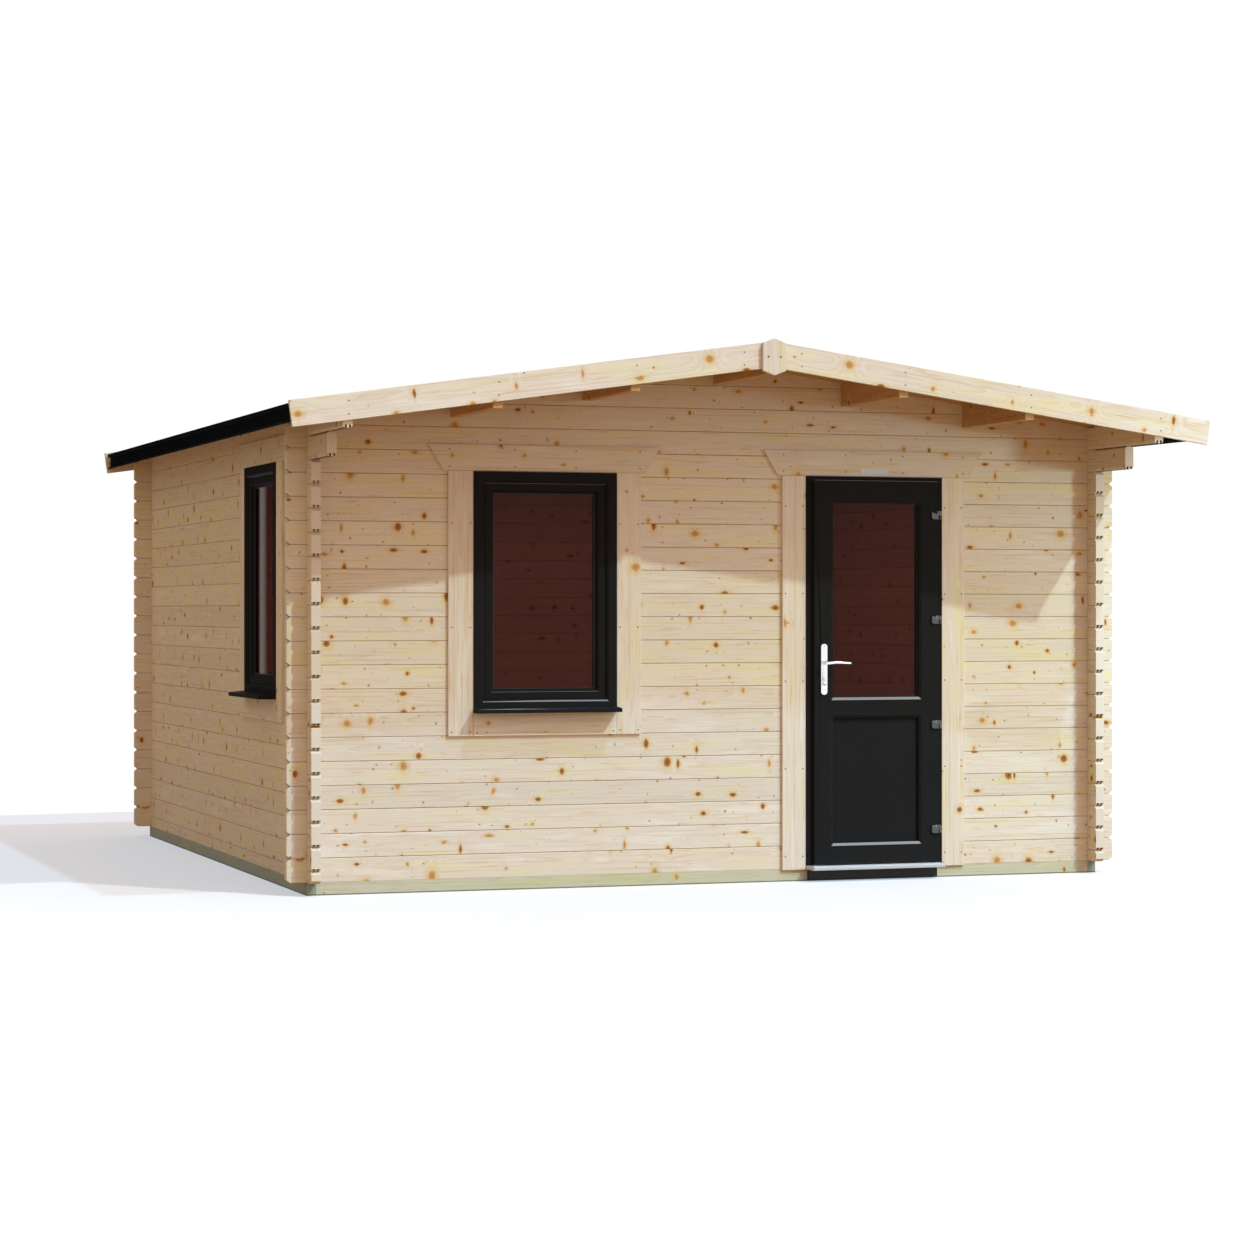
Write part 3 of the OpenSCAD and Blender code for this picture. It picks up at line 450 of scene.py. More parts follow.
def make_others():
    """Every other finish of the cabin, by name. Patterns on metal and plastic are drawn a few
    times coarser than the real ones, so that they show."""
    colours = bpy.context.scene.cabin_colours
    made = {}

    # Grained foil on hollow plastic: near-black, satin, with an embossed grain 1 mm wide and
    # 17 mm long. The beads that slope up to the front are painted paler, a painted highlight
    # for the soft highlights that run along them
    put, shaded = material("foiled_upvc_anthracite")
    place = put("TexCoord")
    fine = put("TexNoise", put("Mapping", place.outputs["Object"],
                               Scale=Vector((900, 900, 60))), Scale=1.0)
    cloudy = put("TexNoise", place.outputs["Object"], Scale=3.0, Detail=3.0)
    tone = put("MixRGB", cloudy, tinted(colours.anthracite, 0.9),
               tinted(colours.anthracite, 1.1))
    slope_up = put("VectorMath", place.outputs["Normal"], (0.0, -0.894, 0.447),
                   operation="DOT_PRODUCT").outputs["Value"]
    bead_painted_highlight = put("ValToRGB", slope_up, stops=((0.965, (0,) * 3), (0.99, (0.8,) * 3)))
    tone = put("MixRGB", bead_painted_highlight, tone, linear("#9f9c9a"))
    bump = put("Bump", Height=fine, Strength=0.12, Distance=0.0002)
    made["foil"] = shaded(Base_Color=tone, Normal=bump, Roughness=0.42, IOR=1.06)

    # Bronze-tinted sealed unit: dark red-brown seen through, with faint clear reflections
    put, shaded = material("tinted_sealed_glass")
    faint = put("TexNoise", put("TexCoord").outputs["Object"], Scale=1.5, Detail=1.0)
    tint = put("MixRGB", faint, tinted(colours.glass, 0.96), tinted(colours.glass, 1.04))
    made["glass"] = shaded(Base_Color=tint, Roughness=0.0, IOR=1.18, Transmission_Weight=1.0)

    # Black rubber: dull, slightly uneven over 2 to 3 mm
    put, shaded = material("epdm_glazing_seal")
    grit = put("TexNoise", put("TexCoord").outputs["Object"], Scale=400.0)
    tone = put("MixRGB", grit, linear("#101010"), linear("#1c1c1c"))
    made["rubber"] = shaded(Base_Color=tone, Roughness=0.7, IOR=1.5)

    # Roof membrane: matt black sheet with 1.5 mm granules
    put, shaded = material("bitumen_roof_membrane")
    place = put("TexCoord").outputs["Object"]
    grit = put("TexNoise", place, Scale=700.0)
    cloudy = put("TexNoise", place, Scale=2.2, Detail=4.0)
    tone = put("ValToRGB", put("Math", cloudy, 0.6, grit, operation="MULTIPLY_ADD"),
               stops=((0.45, linear("#161617")), (0.95, linear("#37373a"))))
    bump = put("Bump", Height=grit, Strength=0.5, Distance=0.0008)
    made["felt"] = shaded(Base_Color=tone, Normal=bump, Roughness=0.9, IOR=1.1)

    # Powder-coated folded sheet: near-black, soft sheen, slight orange peel 4 mm wide
    put, shaded = material("powder_coated_trim")
    place = put("TexCoord").outputs["Object"]
    peel = put("TexNoise", place, Scale=260.0, Detail=1.0)
    tone = put("MixRGB", put("TexNoise", place, Scale=5.0), linear("#08080a"),
               linear("#0e0e10"))
    bump = put("Bump", Height=peel, Strength=0.15, Distance=0.0004)
    made["coated"] = shaded(Base_Color=tone, Normal=bump, Roughness=0.6, IOR=1.04)

    # Mill-finish extrusion: bright, softly brushed along its length in lines 1 mm wide
    put, shaded = material("mill_aluminium")
    lines = put("TexNoise", put("Mapping", put("TexCoord").outputs["Object"],
                                Scale=Vector((4, 900, 900))), Scale=1.0, Detail=3.0)
    tone = put("MixRGB", lines, linear("#bab6b3"), linear("#cbc7c4"))
    bump = put("Bump", Height=lines, Strength=0.1, Distance=0.0002)
    made["mill"] = shaded(Base_Color=tone, Normal=bump, Metallic=0.75, Roughness=0.6)

    # Cast zinc. Chrome plate is mirror-bright with a faint handling haze, and the hinge
    # covers are dark satin nickel with soft highlights along their edges
    for key, name, scale, smooth, dull, one, two in (
            ("chrome", "chrome_plated_zinc", 35.0, 0.07, 0.18, "#fbfbfb", "#f1f1f2"),
            ("nickel", "satin_nickel_hinge_cover", 60.0, 0.18, 0.28, "#646463", "#575756")):
        put, shaded = material(name)
        haze = put("TexNoise", put("TexCoord").outputs["Object"], Scale=scale, Detail=3.0)
        rough = put("ValToRGB", haze, stops=((0.3, (smooth,) * 3), (0.75, (dull,) * 3)))
        tone = put("MixRGB", haze, linear(one), linear(two))
        made[key] = shaded(Base_Color=tone, Roughness=rough, Metallic=1.0)

    # Galvanised nails and screws, dulled brown by sap in spots of 3 mm
    put, shaded = material("galvanised_nail")
    dull = put("TexNoise", put("TexCoord").outputs["Object"], Scale=300.0)
    tone = put("MixRGB", dull, linear("#5d5142"), linear("#8a7b66"))
    made["nail"] = shaded(Base_Color=tone, Metallic=0.6, Roughness=0.55)
    return made


def finish(piece, name):
    """Gives a piece one finish."""
    piece.data.materials.clear()
    piece.data.materials.append(FINISHES[name])


# ---- Modelling ----

def deselect():
    """Leaves edit mode with nothing selected."""
    if bpy.context.object and bpy.context.object.mode != "OBJECT":
        bpy.ops.object.mode_set(mode="OBJECT")
    bpy.ops.object.select_all(action="DESELECT")


def started(name):
    """Names the new primitive, puts its place in its mesh and opens it in edit mode."""
    piece = bpy.context.object
    piece.name = piece.data.name = name
    bpy.ops.object.transform_apply(location=True, rotation=True, scale=True)
    bpy.ops.object.mode_set(mode="EDIT")
    return piece


def block(name, low, high):
    """Starts a piece as a block between two corners, in edit mode with nothing selected."""
    low, high = Vector(low), Vector(high)
    deselect()
    bpy.ops.mesh.primitive_cube_add(size=1, location=(low + high) / 2, scale=high - low)
    piece = started(name)
    bpy.ops.mesh.select_all(action="DESELECT")
    return piece


def choose(piece, kind, test):
    """Selects the vertices, edges or faces whose middle and direction pass the test, and no
    others. The direction is an edge's own, and otherwise the normal."""
    bpy.ops.mesh.select_mode(type=kind)
    bpy.ops.mesh.select_all(action="DESELECT")
    shape = bmesh.from_edit_mesh(piece.data)
    for part in {"VERT": shape.verts, "EDGE": shape.edges, "FACE": shape.faces}[kind]:
        if kind == "EDGE":
            start, end = (vertex.co for vertex in part.verts)
            middle, way = (start + end) / 2, (end - start).normalized()
        else:
            middle = part.co if kind == "VERT" else part.calc_center_median()
            way = part.normal
        if test(middle, way):
            part.select_set(True)
    shape.select_flush_mode()
    bmesh.update_edit_mesh(piece.data)


def bevel(width, segments=2):
    bpy.ops.mesh.bevel(offset=width, segments=segments, affect="EDGES")


def done(piece, body, slot, finish_name, *replaced):
    """Leaves edit mode and gives the piece its body, finish and the nodes it stands for."""
    deselect()
    finish(piece, finish_name)
    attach(piece, body)
    if replaced:
        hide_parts(*replaced)


def at(x, y, z):
    return Matrix.Translation((x, y, z))


def copies(model, name, places):
    """One piece made of the model repeated at each place, each copy with its own mesh first."""
    deselect()
    made = []
    for place in places:
        copy = model.copy()
        copy.data = model.data.copy()
        copy.data.transform(place)
        bpy.context.scene.collection.objects.link(copy)
        copy.select_set(True)
        made.append(copy)
    bpy.context.view_layer.objects.active = made[0]
    if len(made) > 1:
        bpy.ops.object.join()
    whole = bpy.context.object
    whole.name = whole.data.name = name
    spent = model.data
    bpy.data.objects.remove(model)
    bpy.data.meshes.remove(spent)
    return whole


def board(name, low, high, ease, slant=0.0):
    """A planed board with eased edges. A slant runs its top corners out along the grain."""
    piece = block(name, low, high)
    if slant:
        axis = 0 if high[0] - low[0] > high[1] - low[1] else 1
        middle = (low[axis] + high[axis]) / 2
        for side in (-1, 1):
            choose(piece, "VERT", lambda p, n: p.z > (low[2] + high[2]) / 2
                   and (p[axis] - middle) * side > 0)
            shift = Vector((0, 0, 0))
            shift[axis] = side * slant
            bpy.ops.transform.translate(value=shift)
    bpy.ops.mesh.select_all(action="SELECT")
    bevel(ease)
    return piece


def boards(name, low, high, cover, gap, shape):
    """Boards side by side along Y from low to high. Shape is called to work on the first."""
    count = round((high.y - low.y) / cover)
    cover = (high.y - low.y) / count
    model = block("board", low, (high.x, low.y + cover - gap, high.z))
    shape(model)
    return copies(model, name, [at(0, i * cover, 0) for i in range(count)])


def head(diameter, rise):
    """A nail or screw head with a domed face, looking to -Y, its rim's back at the origin. The
    straight rim takes 0.6 of the rise, and the face comes in by 0.16 of the diameter."""
    deselect()
    bpy.ops.mesh.primitive_circle_add(vertices=12, radius=diameter / 2, fill_type="NGON",
                                      rotation=(math.radians(90), 0, 0))
    piece = started("head")
    bpy.ops.mesh.select_all(action="SELECT")
    bpy.ops.mesh.extrude_region_move(TRANSFORM_OT_translate={"value": (0, -rise * 0.6, 0)})
    bpy.ops.mesh.inset(thickness=diameter * 0.16, depth=0)
    bpy.ops.transform.translate(value=(0, -rise * 0.4, 0))
    bpy.ops.mesh.select_all(action="SELECT")
    bpy.ops.mesh.normals_make_consistent(inside=False)
    return piece


def gable_spot(end, node, x, z):
    """A place on a node's outer face at the front or the back, turned to look outwards."""
    low, high = corners(node)
    return at(x, low.y, z) if end == "front" else at(x, high.y, z) @ TO_BACK


def ease_node(node, width):
    """Rounds a CAD node's edges by modifiers: its loose triangles are welded first."""
    weld = node.modifiers.new("Weld", "WELD")
    weld.merge_threshold = SAME
    rounded = node.modifiers.new("Bevel", "BEVEL")
    rounded.width = width
    rounded.segments = 2
    rounded.limit_method = "ANGLE"
    rounded.angle_limit = math.radians(25)
    rounded.use_clamp_overlap = True


def seals(group, depth, width, body):
    """Rubber seals on both faces of a pane, which lie across the depth axis: flat rings that
    start just inside the pane's edge."""
    low, high = corners(f"{group}_glass")
    inset = Vector((SEAL_IN,) * 3)
    for where, face, out in (("outside", low[depth], -SEAL_T), ("inside", high[depth], SEAL_T)):
        one, two = low + inset, high - inset
        one[depth], two[depth] = sorted((face, face + out))
        piece = block(f"{group}_seal_{where}", one, two)
        choose(piece, "FACE", lambda p, n: abs(n[depth]) > ALONG)
        bpy.ops.mesh.inset(thickness=width, depth=0, use_individual=True)
        # The two inner faces, and not the rings that the inset leaves round them
        middle, reach = (one + two) / 2, (two - one).length / 2 * 0.3 + SEAL_T
        choose(piece, "FACE", lambda p, n: abs(n[depth]) > ALONG
               and (p - middle).length < reach)
        bpy.ops.mesh.bridge_edge_loops()
        done(piece, body, "frame_anthracite", "rubber")


# ---- Operators ----

class CABIN_OT_walls(bpy.types.Operator):
    """Finish the log walls, the base and the purlins"""
    bl_idname = "cabin.walls"
    bl_label = "Walls and base"

    def execute(self, context):
        for name, group in (
                ("logs_x", ("front_wall_left", "front_wall_right", "front_gable", "back_wall")),
                ("logs_y", ("left_wall", "right_wall")),
                ("treated_x", ("base_front", "base_back")),
                ("treated_y_painted_shade", ("base_left", "base_right", "floor_bearers")),
                ("purlins", ("ridge_purlin", "purlins"))):
            for node in group:
                finish(nodes[node], name)
        return {"FINISHED"}


class CABIN_OT_floor(bpy.types.Operator):
    """Lay the floorboards"""
    bl_idname = "cabin.floorboards"
    bl_label = "Floorboards"

    def execute(self, context):
        sizes = context.scene.cabin_sizes
        low, high = corners("floor_boards")

        def shape(model):
            choose(model, "EDGE", lambda p, a: abs(a.x) > ALONG and p.z > high.z - NEAR)
            bevel(0.0012, 1)

        laid = boards("floorboards", low, high, sizes.floor_cover, sizes.board_gap, shape)
        done(laid, "cabin", "board_pine", "floor", "floor_boards")
        return {"FINISHED"}


class CABIN_OT_roof(bpy.types.Operator):
    """Lay the roof boards, the membrane with its laps, and finish the eaves trims"""
    bl_idname = "cabin.roof"
    bl_label = "Roof"

    def execute(self, context):
        sizes = context.scene.cabin_sizes
        sides = ((1, "right"), (-1, "left"))

        def shape(model):
            choose(model, "EDGE", lambda p, a: abs(a.x) > ALONG and p.z < PURLIN_TOP + NEAR)
            bevel(sizes.board_v, 1)
            choose(model, "VERT", lambda p, a: abs(p.x) > EAVE_X / 2)
            bpy.ops.transform.translate(value=(0, 0, -EAVE_X * SLOPE))

        for side, name in sides:
            ends = sorted((0, side * EAVE_X))
            laid = boards(f"roof_planks_{name}", Vector((ends[0], ROOF_FRONT, PURLIN_TOP)),
                          Vector((ends[1], ROOF_BACK, PURLIN_TOP + BOARD_RISE)),
                          sizes.plank_cover, sizes.board_gap, shape)
            done(laid, "cabin", "board_pine", f"planks_{name}", f"roof_boards_{name}")
        finish(nodes["roof_covering"], "felt")
        finish(nodes["eaves_trim_left"], "coated")
        finish(nodes["eaves_trim_right"], "coated")

        # Laps between the rolls, about 0.75 m apart down each slope, and a folded ridge strip
        for side, name in sides:
            for number, start in enumerate(LAP_STARTS):
                width = sizes.felt_lap if start else RIDGE_STRIP
                edges = sorted((side * start, side * (start + width)))
                under = COVER_TOP - SLOPE * start
                lap = block(f"membrane_lap_{name}_{number}",
                            (edges[0], ROOF_FRONT + 0.002, under),
                            (edges[1], ROOF_BACK - 0.002, under + sizes.felt_t))
                outer = start + width / 2
                choose(lap, "VERT", lambda p, a: abs(p.x) > outer)
                bpy.ops.transform.translate(value=(0, 0, -SLOPE * width))
                lower = COVER_TOP - SLOPE * (start + width) + sizes.felt_t / 2
                choose(lap, "EDGE", lambda p, a: abs(a.y) > ALONG and abs(p.x) > outer
                       and p.z > lower)
                bevel(sizes.felt_t * 0.45, 1)
                done(lap, "cabin", "roof_membrane", "felt")
        return {"FINISHED"}


class CABIN_OT_barge(bpy.types.Operator):
    """Ease and nail the bargeboards and screw on the finials"""
    bl_idname = "cabin.bargeboards"
    bl_label = "Bargeboards and finials"

    def execute(self, context):
        sizes = context.scene.cabin_sizes
        nails, screws = [], []
        for end in ("front", "back"):
            for side in ("left", "right"):
                node = nodes[f"bargeboard_{end}_{side}"]
                finish(node, f"barge_{side}")
                ease_node(node, sizes.ease)
            node = nodes[f"finial_{end}"]
            finish(node, "trim_z")
            ease_node(node, sizes.ease * 1.3)

            barge, finial = f"bargeboard_{end}_right", f"finial_{end}"
            top = corners(barge)[1].z
            nails += [gable_spot(end, barge, side * x, top - SLOPE * x - down)
                      for side in (-1, 1) for x in BARGE_NAILS for down in BARGE_ROWS]
            low, high = corners(finial)
            screws += [gable_spot(end, finial, x, (low.z + high.z) / 2)
                       for x in FINIAL_SCREWS]
        nailed = copies(head(sizes.nail_d, NAIL_RISE), "bargeboard_nails", nails)
        done(nailed, "cabin", "trim_pine", "nail")
        screwed = copies(head(*FINIAL_SCREW), "finial_screws", screws)
        done(screwed, "cabin", "trim_pine", "nail")
        return {"FINISHED"}


class CABIN_OT_trims(bpy.types.Operator):
    """Nail the trim boards round the windows and the door"""
    bl_idname = "cabin.trims"
    bl_label = "Trim boards"

    def surround(self, group, ease, nail_d):
        """Two side boards, a head board with slanted ends and, at a window, a foot board."""
        trim = f"{group}_trim"
        low, high = corners(trim)
        inner_low, inner_high = corners(f"{group}_frame")
        axis, depth = (1, 0) if group == "side_window" else (0, 1)
        upright, level = ("side_trim_z", "side_trim_y") if axis else ("trim_z", "trim_x")
        turn = TO_LEFT_WALL if axis else Matrix.Identity(4)
        head_low = inner_high.z + TRIM_GAP
        width = high.z - head_low
        edges = (inner_low[axis] - TRIM_GAP, inner_high[axis] + TRIM_GAP)
        spots = []

        def span(a, b, z0, z1):
            """Corners of a board from a to b along the wall and z0 to z1."""
            one, two = Vector(low), Vector(high)
            one[axis], two[axis] = a, b
            one.z, two.z = z0, z1
            return one, two

        def nail_at(a, z):
            spot = Vector((0, 0, z))
            spot[axis], spot[depth] = a, low[depth]
            spots.append(Matrix.Translation(spot) @ turn)

        first, step, count = DOOR_NAILS if group == "door" else WINDOW_NAILS
        for number, (a, b) in enumerate(((edges[0] - width, edges[0]),
                                         (edges[1], edges[1] + width))):
            side = board(f"{group}_side_board_{number}",
                         *span(a, b, low.z, head_low - TRIM_JOINT), ease)
            done(side, "cabin", "trim_pine", upright, *([] if number else [trim]))
            for row in range(count):
                nail_at(a + NAIL_IN, low.z + first + row * step)
                nail_at(b - NAIL_IN, low.z + first + row * step)

        # The solid's box takes in the slanted ends, and the board starts without them
        past = edges[0] - low[axis] - width - HEAD_SLANT
        a, b = edges[0] - width - past, edges[1] + width + past
        top = board(f"{group}_head_board", *span(a, b, head_low, high.z), ease, HEAD_SLANT)
        done(top, "cabin", "trim_pine", level)
        for share in HEAD_NAILS:
            nail_at(a + (b - a) * share, head_low + 0.020)
            nail_at(a + (b - a) * share, high.z - 0.022)

        if group != "door":
            sill_low = corners(f"{group}_sill")[0]
            foot = board(f"{group}_foot_board",
                         *span(edges[0] + TRIM_JOINT, edges[1] - TRIM_JOINT, low.z,
                               sill_low.z - TRIM_JOINT), ease)
            done(foot, "cabin", "trim_pine", level)
            for share in FOOT_NAILS:
                nail_at(edges[0] + (edges[1] - edges[0]) * share, low.z + NAIL_IN)
        nails = copies(head(nail_d, NAIL_RISE), f"{group}_trim_nails", spots)
        done(nails, "cabin", "trim_pine", "nail")

    def execute(self, context):
        sizes = context.scene.cabin_sizes
        for group in ("front_window", "side_window", "door"):
            self.surround(group, sizes.ease, sizes.nail_d)
        return {"FINISHED"}


class CABIN_OT_windows(bpy.types.Operator):
    """Finish the window frames and fit their glazing seals"""
    bl_idname = "cabin.windows"
    bl_label = "Windows"

    def execute(self, context):
        for group, depth in (("front_window", 1), ("side_window", 0)):
            for part, ease in (("frame", 0.0025), ("sash", 0.0015), ("sill", 0.0015)):
                node = nodes[f"{group}_{part}"]
                finish(node, "foil")
                ease_node(node, ease)
            finish(nodes[f"{group}_glass"], "glass")
            seals(group, depth, context.scene.cabin_sizes.seal_w, "cabin")
        return {"FINISHED"}


class CABIN_OT_door(bpy.types.Operator):
    """Finish the door, its furniture and its threshold"""
    bl_idname = "cabin.door"
    bl_label = "Door"

    def threshold(self):
        """A thin sill with a rounded nose and four ribs against slipping, and a black block
        under it in front of the base, which is a painted shadow of the sill."""
        low, high = corners("door_threshold")
        end = high.x - SILL_SHORT
        sheet = block("threshold_sill", low, (end, high.y, high.z - RIB_RISE))
        choose(sheet, "EDGE", lambda p, a: p.y < low.y + NEAR or
               (abs(a.y) > ALONG and p.z > (low.z + high.z) / 2))
        bevel(0.004, 3)
        done(sheet, "cabin", "threshold_metal", "mill", "door_threshold")
        rib = block("rib", (low.x + 0.006, low.y + 0.012, high.z - 2 * RIB_RISE),
                    (end - 0.006, low.y + 0.016, high.z))
        choose(rib, "EDGE", lambda p, a: p.z > high.z - NEAR / 10)
        bevel(0.0008, 2)
        ribs = copies(rib, "threshold_ribs", [at(0, i * RIB_GAP, 0) for i in range(4)])
        done(ribs, "cabin", "threshold_metal", "mill")
        base_low, base_high = corners("base_front")
        # A black block in front of the base under the sill stands in for its shadow: a painted
        # shadow
        shadow_block = block("threshold_shadow_block", (low.x + SHADOW_BLOCK_IN, low.y + 0.075, 0.004),
                       (end - SHADOW_BLOCK_IN, base_low.y, min(low.z, base_high.z)))
        choose(shadow_block, "FACE", lambda p, n: n.y < -ALONG)
        bpy.ops.mesh.inset(thickness=0.008, depth=-0.004)
        done(shadow_block, "cabin", "frame_anthracite", "rubber")

    def casting(self, name, body, look):
        """A casting copied from its solid, merged and shaded smooth over its curves."""
        piece = nodes[name].copy()
        piece.data = nodes[name].data.copy()
        for key in [k for k in piece.keys() if k.startswith("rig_")]:
            del piece[key]
        piece.parent = None
        piece.name = piece.data.name = f"{name}_cast"
        bpy.context.scene.collection.objects.link(piece)
        deselect()
        piece.select_set(True)
        bpy.context.view_layer.objects.active = piece
        bpy.ops.object.mode_set(mode="EDIT")
        bpy.ops.mesh.select_all(action="SELECT")
        bpy.ops.mesh.remove_doubles(threshold=SAME)
        bpy.ops.object.mode_set(mode="OBJECT")
        bpy.ops.object.shade_smooth_by_angle(angle=math.radians(28))
        done(piece, body, "door_furniture", look, name)

    def execute(self, context):
        self.threshold()
        for name, ease in (("door_frame", 0.0025), ("door_leaf", 0.002)):
            finish(nodes[name], "foil")
            ease_node(nodes[name], ease)
        finish(nodes["door_panel"], "foil")
        finish(nodes["door_glass"], "glass")
        seals("door", 1, context.scene.cabin_sizes.seal_w, "door")
        for name, body, look in (("door_levers", "lever", "chrome"),
                                 ("handle_plates", "door", "chrome"),
                                 ("hinge_flags", "door", "nickel"),
                                 ("hinge_brackets", "cabin", "nickel")):
            self.casting(name, body, look)

        # A small dark screw near the top of the outer handle plate
        low, high = corners("handle_plates")
        screw = copies(head(*PLATE_SCREW), "handle_plate_screws",
                       [at((low.x + high.x) / 2, low.y + 0.0001, high.z - 0.013)])
        done(screw, "door", "door_furniture", "nail")

        # A blank plate on the head board over the door
        low, high = corners("door_frame")
        face = corners("door_trim")[0].y
        middle = (low.x + high.x) / 2
        width, height, thick = PLATE
        under = high.z + PLATE_UP
        plate = block("blank_plate", (middle - width / 2, face - thick, under),
                      (middle + width / 2, face, under + height))
        choose(plate, "EDGE", lambda p, a: abs(a.y) > ALONG)
        bevel(0.003, 3)
        done(plate, "cabin", "threshold_metal", "mill")
        return {"FINISHED"}


def seen_rays(put):
    """One for rays from the eye, a shine or clear glass, and nought for those that light."""
    path = put("LightPath")
    through = put("Math", path.outputs["Is Glossy Ray"], path.outputs["Is Transmission Ray"],
                  operation="MAXIMUM")
    return put("Math", path.outputs["Is Camera Ray"], through, operation="MAXIMUM")


def lamp(name, kind, energy, tone=(1, 1, 1), place=(0, 0, 0), aim=None, hidden=(),
         **settings):
    """Adds a lamp that looks from its place to its aim, or straight down. It isn't seen by the
    hidden kinds of ray."""
    light = bpy.data.lights.new(name, kind)
    light.color = tone
    light.energy = energy
    for setting, value in settings.items():
        setattr(light, setting, value)
    stand = bpy.data.objects.new(name, light)
    stand.location = place
    if aim:
        way = Vector(aim) - Vector(place)
        stand.rotation_euler = way.to_track_quat("-Z", "Y").to_euler()
    for ray in hidden:
        setattr(stand, f"visible_{ray}", False)
    bpy.context.scene.collection.objects.link(stand)


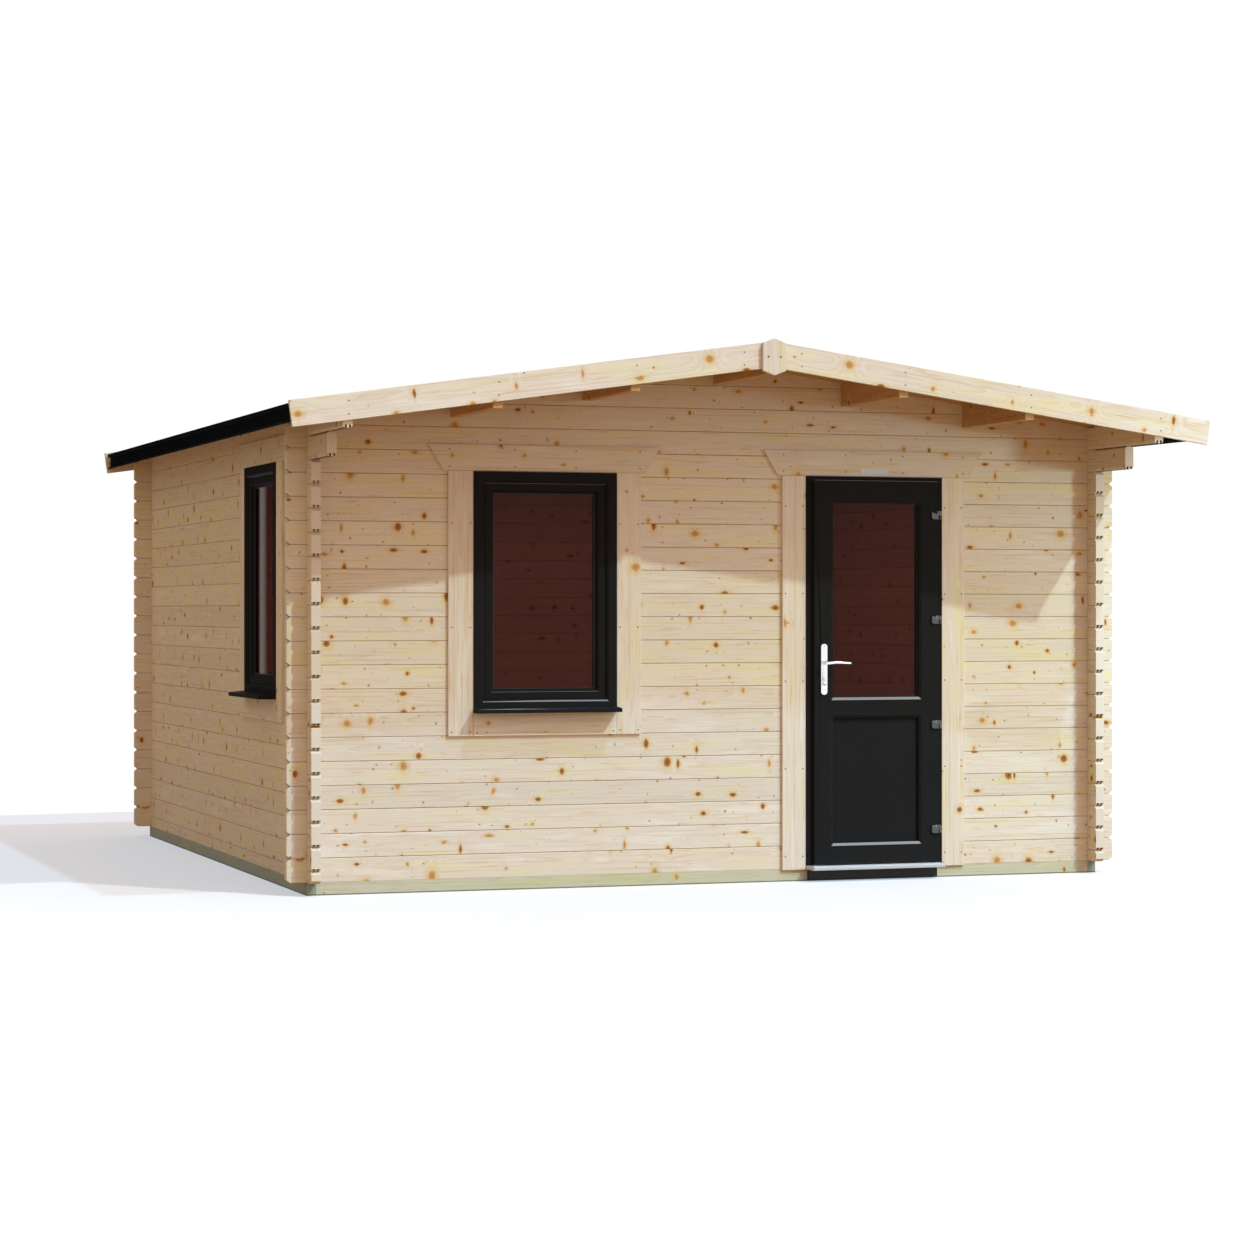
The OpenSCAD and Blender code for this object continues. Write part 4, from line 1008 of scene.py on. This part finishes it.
class CABIN_OT_stage(bpy.types.Operator):
    """Set the floor, the lamps, the sky and the camera"""
    bl_idname = "cabin.stage"
    bl_label = "Stage"

    def floor(self):
        """White paper to the eye, which keeps the shadow, and a warm floor to the cabin."""
        deselect()
        bpy.ops.mesh.primitive_plane_add(size=80, location=(0, 0, 0))
        ground = bpy.context.object
        ground.name = "ground"
        put, shaded = material("pale_ground")
        seen = seen_rays(put)
        speck = put("TexNoise", put("TexCoord").outputs["Object"], Scale=40.0)
        warm = put("MixRGB", speck, linear("#a67e59"), linear("#ad845d"))
        tone = put("MixRGB", seen, warm, linear("#cfb5a6"))
        ground.data.materials.append(
            shaded(Base_Color=tone, Roughness=0.9, Specular_IOR_Level=0.0,
                   Emission_Strength=seen, Emission_Color=linear("#96adbc")))

    def flag(self):
        """A black flag behind the cabin, seen only in what shines. A bright gap 2 cm wide, with
        soft edges, stands in it 3.92 m left of the cabin's middle."""
        deselect()
        bpy.ops.mesh.primitive_plane_add(size=1, location=(-7.0, 8.0, 3.0),
                                         rotation=(math.radians(90), 0, 0))
        flag = bpy.context.object
        flag.name = "black_flag"
        flag.scale = (10.4, 6.0, 1.0)
        bpy.ops.object.transform_apply(location=True, rotation=True, scale=True)
        for ray in ("camera", "diffuse", "transmission", "volume_scatter", "shadow"):
            setattr(flag, f"visible_{ray}", False)
        put, shaded = material("black_flag_cloth")
        across = put("SeparateXYZ", put("TexCoord").outputs["Object"])
        gap = put("Math", put("Math", across, 3.92, operation="ADD"), operation="ABSOLUTE")
        glow = put("ValToRGB", put("Math", gap, 10.0, operation="MULTIPLY"),
                   stops=((0.10, (0.5,) * 3), (0.45, (0.0,) * 3)))
        flag.data.materials.append(
            shaded(Base_Color=linear("#000000"), Roughness=1.0, IOR=1.0,
                   Emission_Color=linear("#ffffff"), Emission_Strength=glow))

    def sky(self):
        """White to the eye. The open side, at the right and the front, gives the cabin more
        and whiter light than the other."""
        world = bpy.data.worlds.new("sky")
        world.use_nodes = True
        world.node_tree.nodes.clear()
        put = partial(add, world.node_tree)
        side = put("VectorMath", put("TexCoord").outputs["Generated"], (0.89, -0.45, 0.0),
                   operation="DOT_PRODUCT").outputs["Value"]
        side = put("Math", side, 0.5, 0.5, operation="MULTIPLY_ADD")
        around = put("MixRGB", side, (0.435, 0.38, 0.24), (1.15, 1.02, 0.97))
        light = put("MixRGB", seen_rays(put), around, (1, 1, 1))
        put("OutputWorld", put("Background", light, 1.0))
        bpy.context.scene.world = world

    def camera(self):
        lens = bpy.data.cameras.new("camera")
        lens.lens = 89.84
        lens.sensor_width = 36
        lens.shift_y = -0.0114
        lens.clip_end = 200
        camera = bpy.data.objects.new("camera", lens)
        camera.location = (-5.214, -15.916, 1.299)
        camera.rotation_euler = (math.radians(90), 0, math.radians(-18.83))
        bpy.context.scene.collection.objects.link(camera)
        bpy.context.scene.camera = camera

    def execute(self, context):
        self.floor()
        lamp("sun", "SUN", 1.95, (0.66, 0.93, 1.0), aim=(-0.77, 1.0, -1.2),
             angle=math.radians(1.2))
        lamp("high_sun", "SUN", 1.6, (0.28, 0.58, 1.0), aim=(-0.62, 1.0, -2.1),
             angle=math.radians(1.5))
        # A low lamp fills the shade at the right of the front wall
        lamp("fill_lamp", "SPOT", 230, (0.62, 0.95, 1.0), (4.3, -4.7, 1.8), (1.6, -2.0, 1.3),
             ("glossy",), spot_size=math.radians(50), spot_blend=1.0, shadow_soft_size=0.25)
        self.flag()
        # A soft lamp under the ridge shows the room through its tinted glass
        lamp("room_lamp", "AREA", 30, place=(0, 0, 2.15),
             hidden=("camera", "glossy", "transmission"), shape="SQUARE", size=2.4)
        self.sky()
        self.camera()
        context.scene.view_settings.view_transform = "Standard"
        return {"FINISHED"}


OPERATORS = (CABIN_OT_walls, CABIN_OT_floor, CABIN_OT_roof, CABIN_OT_barge, CABIN_OT_trims,
             CABIN_OT_windows, CABIN_OT_door, CABIN_OT_stage)


class CABIN_PT_panel(bpy.types.Panel):
    """Sizes, colours and steps of the log cabin"""
    bl_label = "Log Cabin"
    bl_idname = "CABIN_PT_panel"
    bl_space_type = "VIEW_3D"
    bl_region_type = "UI"
    bl_category = "Log Cabin"

    def draw(self, context):
        for group in (context.scene.cabin_sizes, context.scene.cabin_colours):
            for name in group.__annotations__:
                self.layout.prop(group, name)
        for operator in OPERATORS:
            self.layout.operator(operator.bl_idname)


CLASSES = (CabinSizes, CabinColours, *OPERATORS, CABIN_PT_panel)


def register():
    for kind in CLASSES:
        bpy.utils.register_class(kind)
    bpy.types.Scene.cabin_sizes = bpy.props.PointerProperty(type=CabinSizes)
    bpy.types.Scene.cabin_colours = bpy.props.PointerProperty(type=CabinColours)


def unregister():
    del bpy.types.Scene.cabin_sizes
    del bpy.types.Scene.cabin_colours
    for kind in reversed(CLASSES):
        bpy.utils.unregister_class(kind)


def main():
    register()
    FINISHES.update(make_woods())
    FINISHES.update(make_others())
    for operator in OPERATORS:
        group, name = operator.bl_idname.split(".")
        getattr(getattr(bpy.ops, group), name)()
    deselect()


if __name__ == "__main__":
    main()
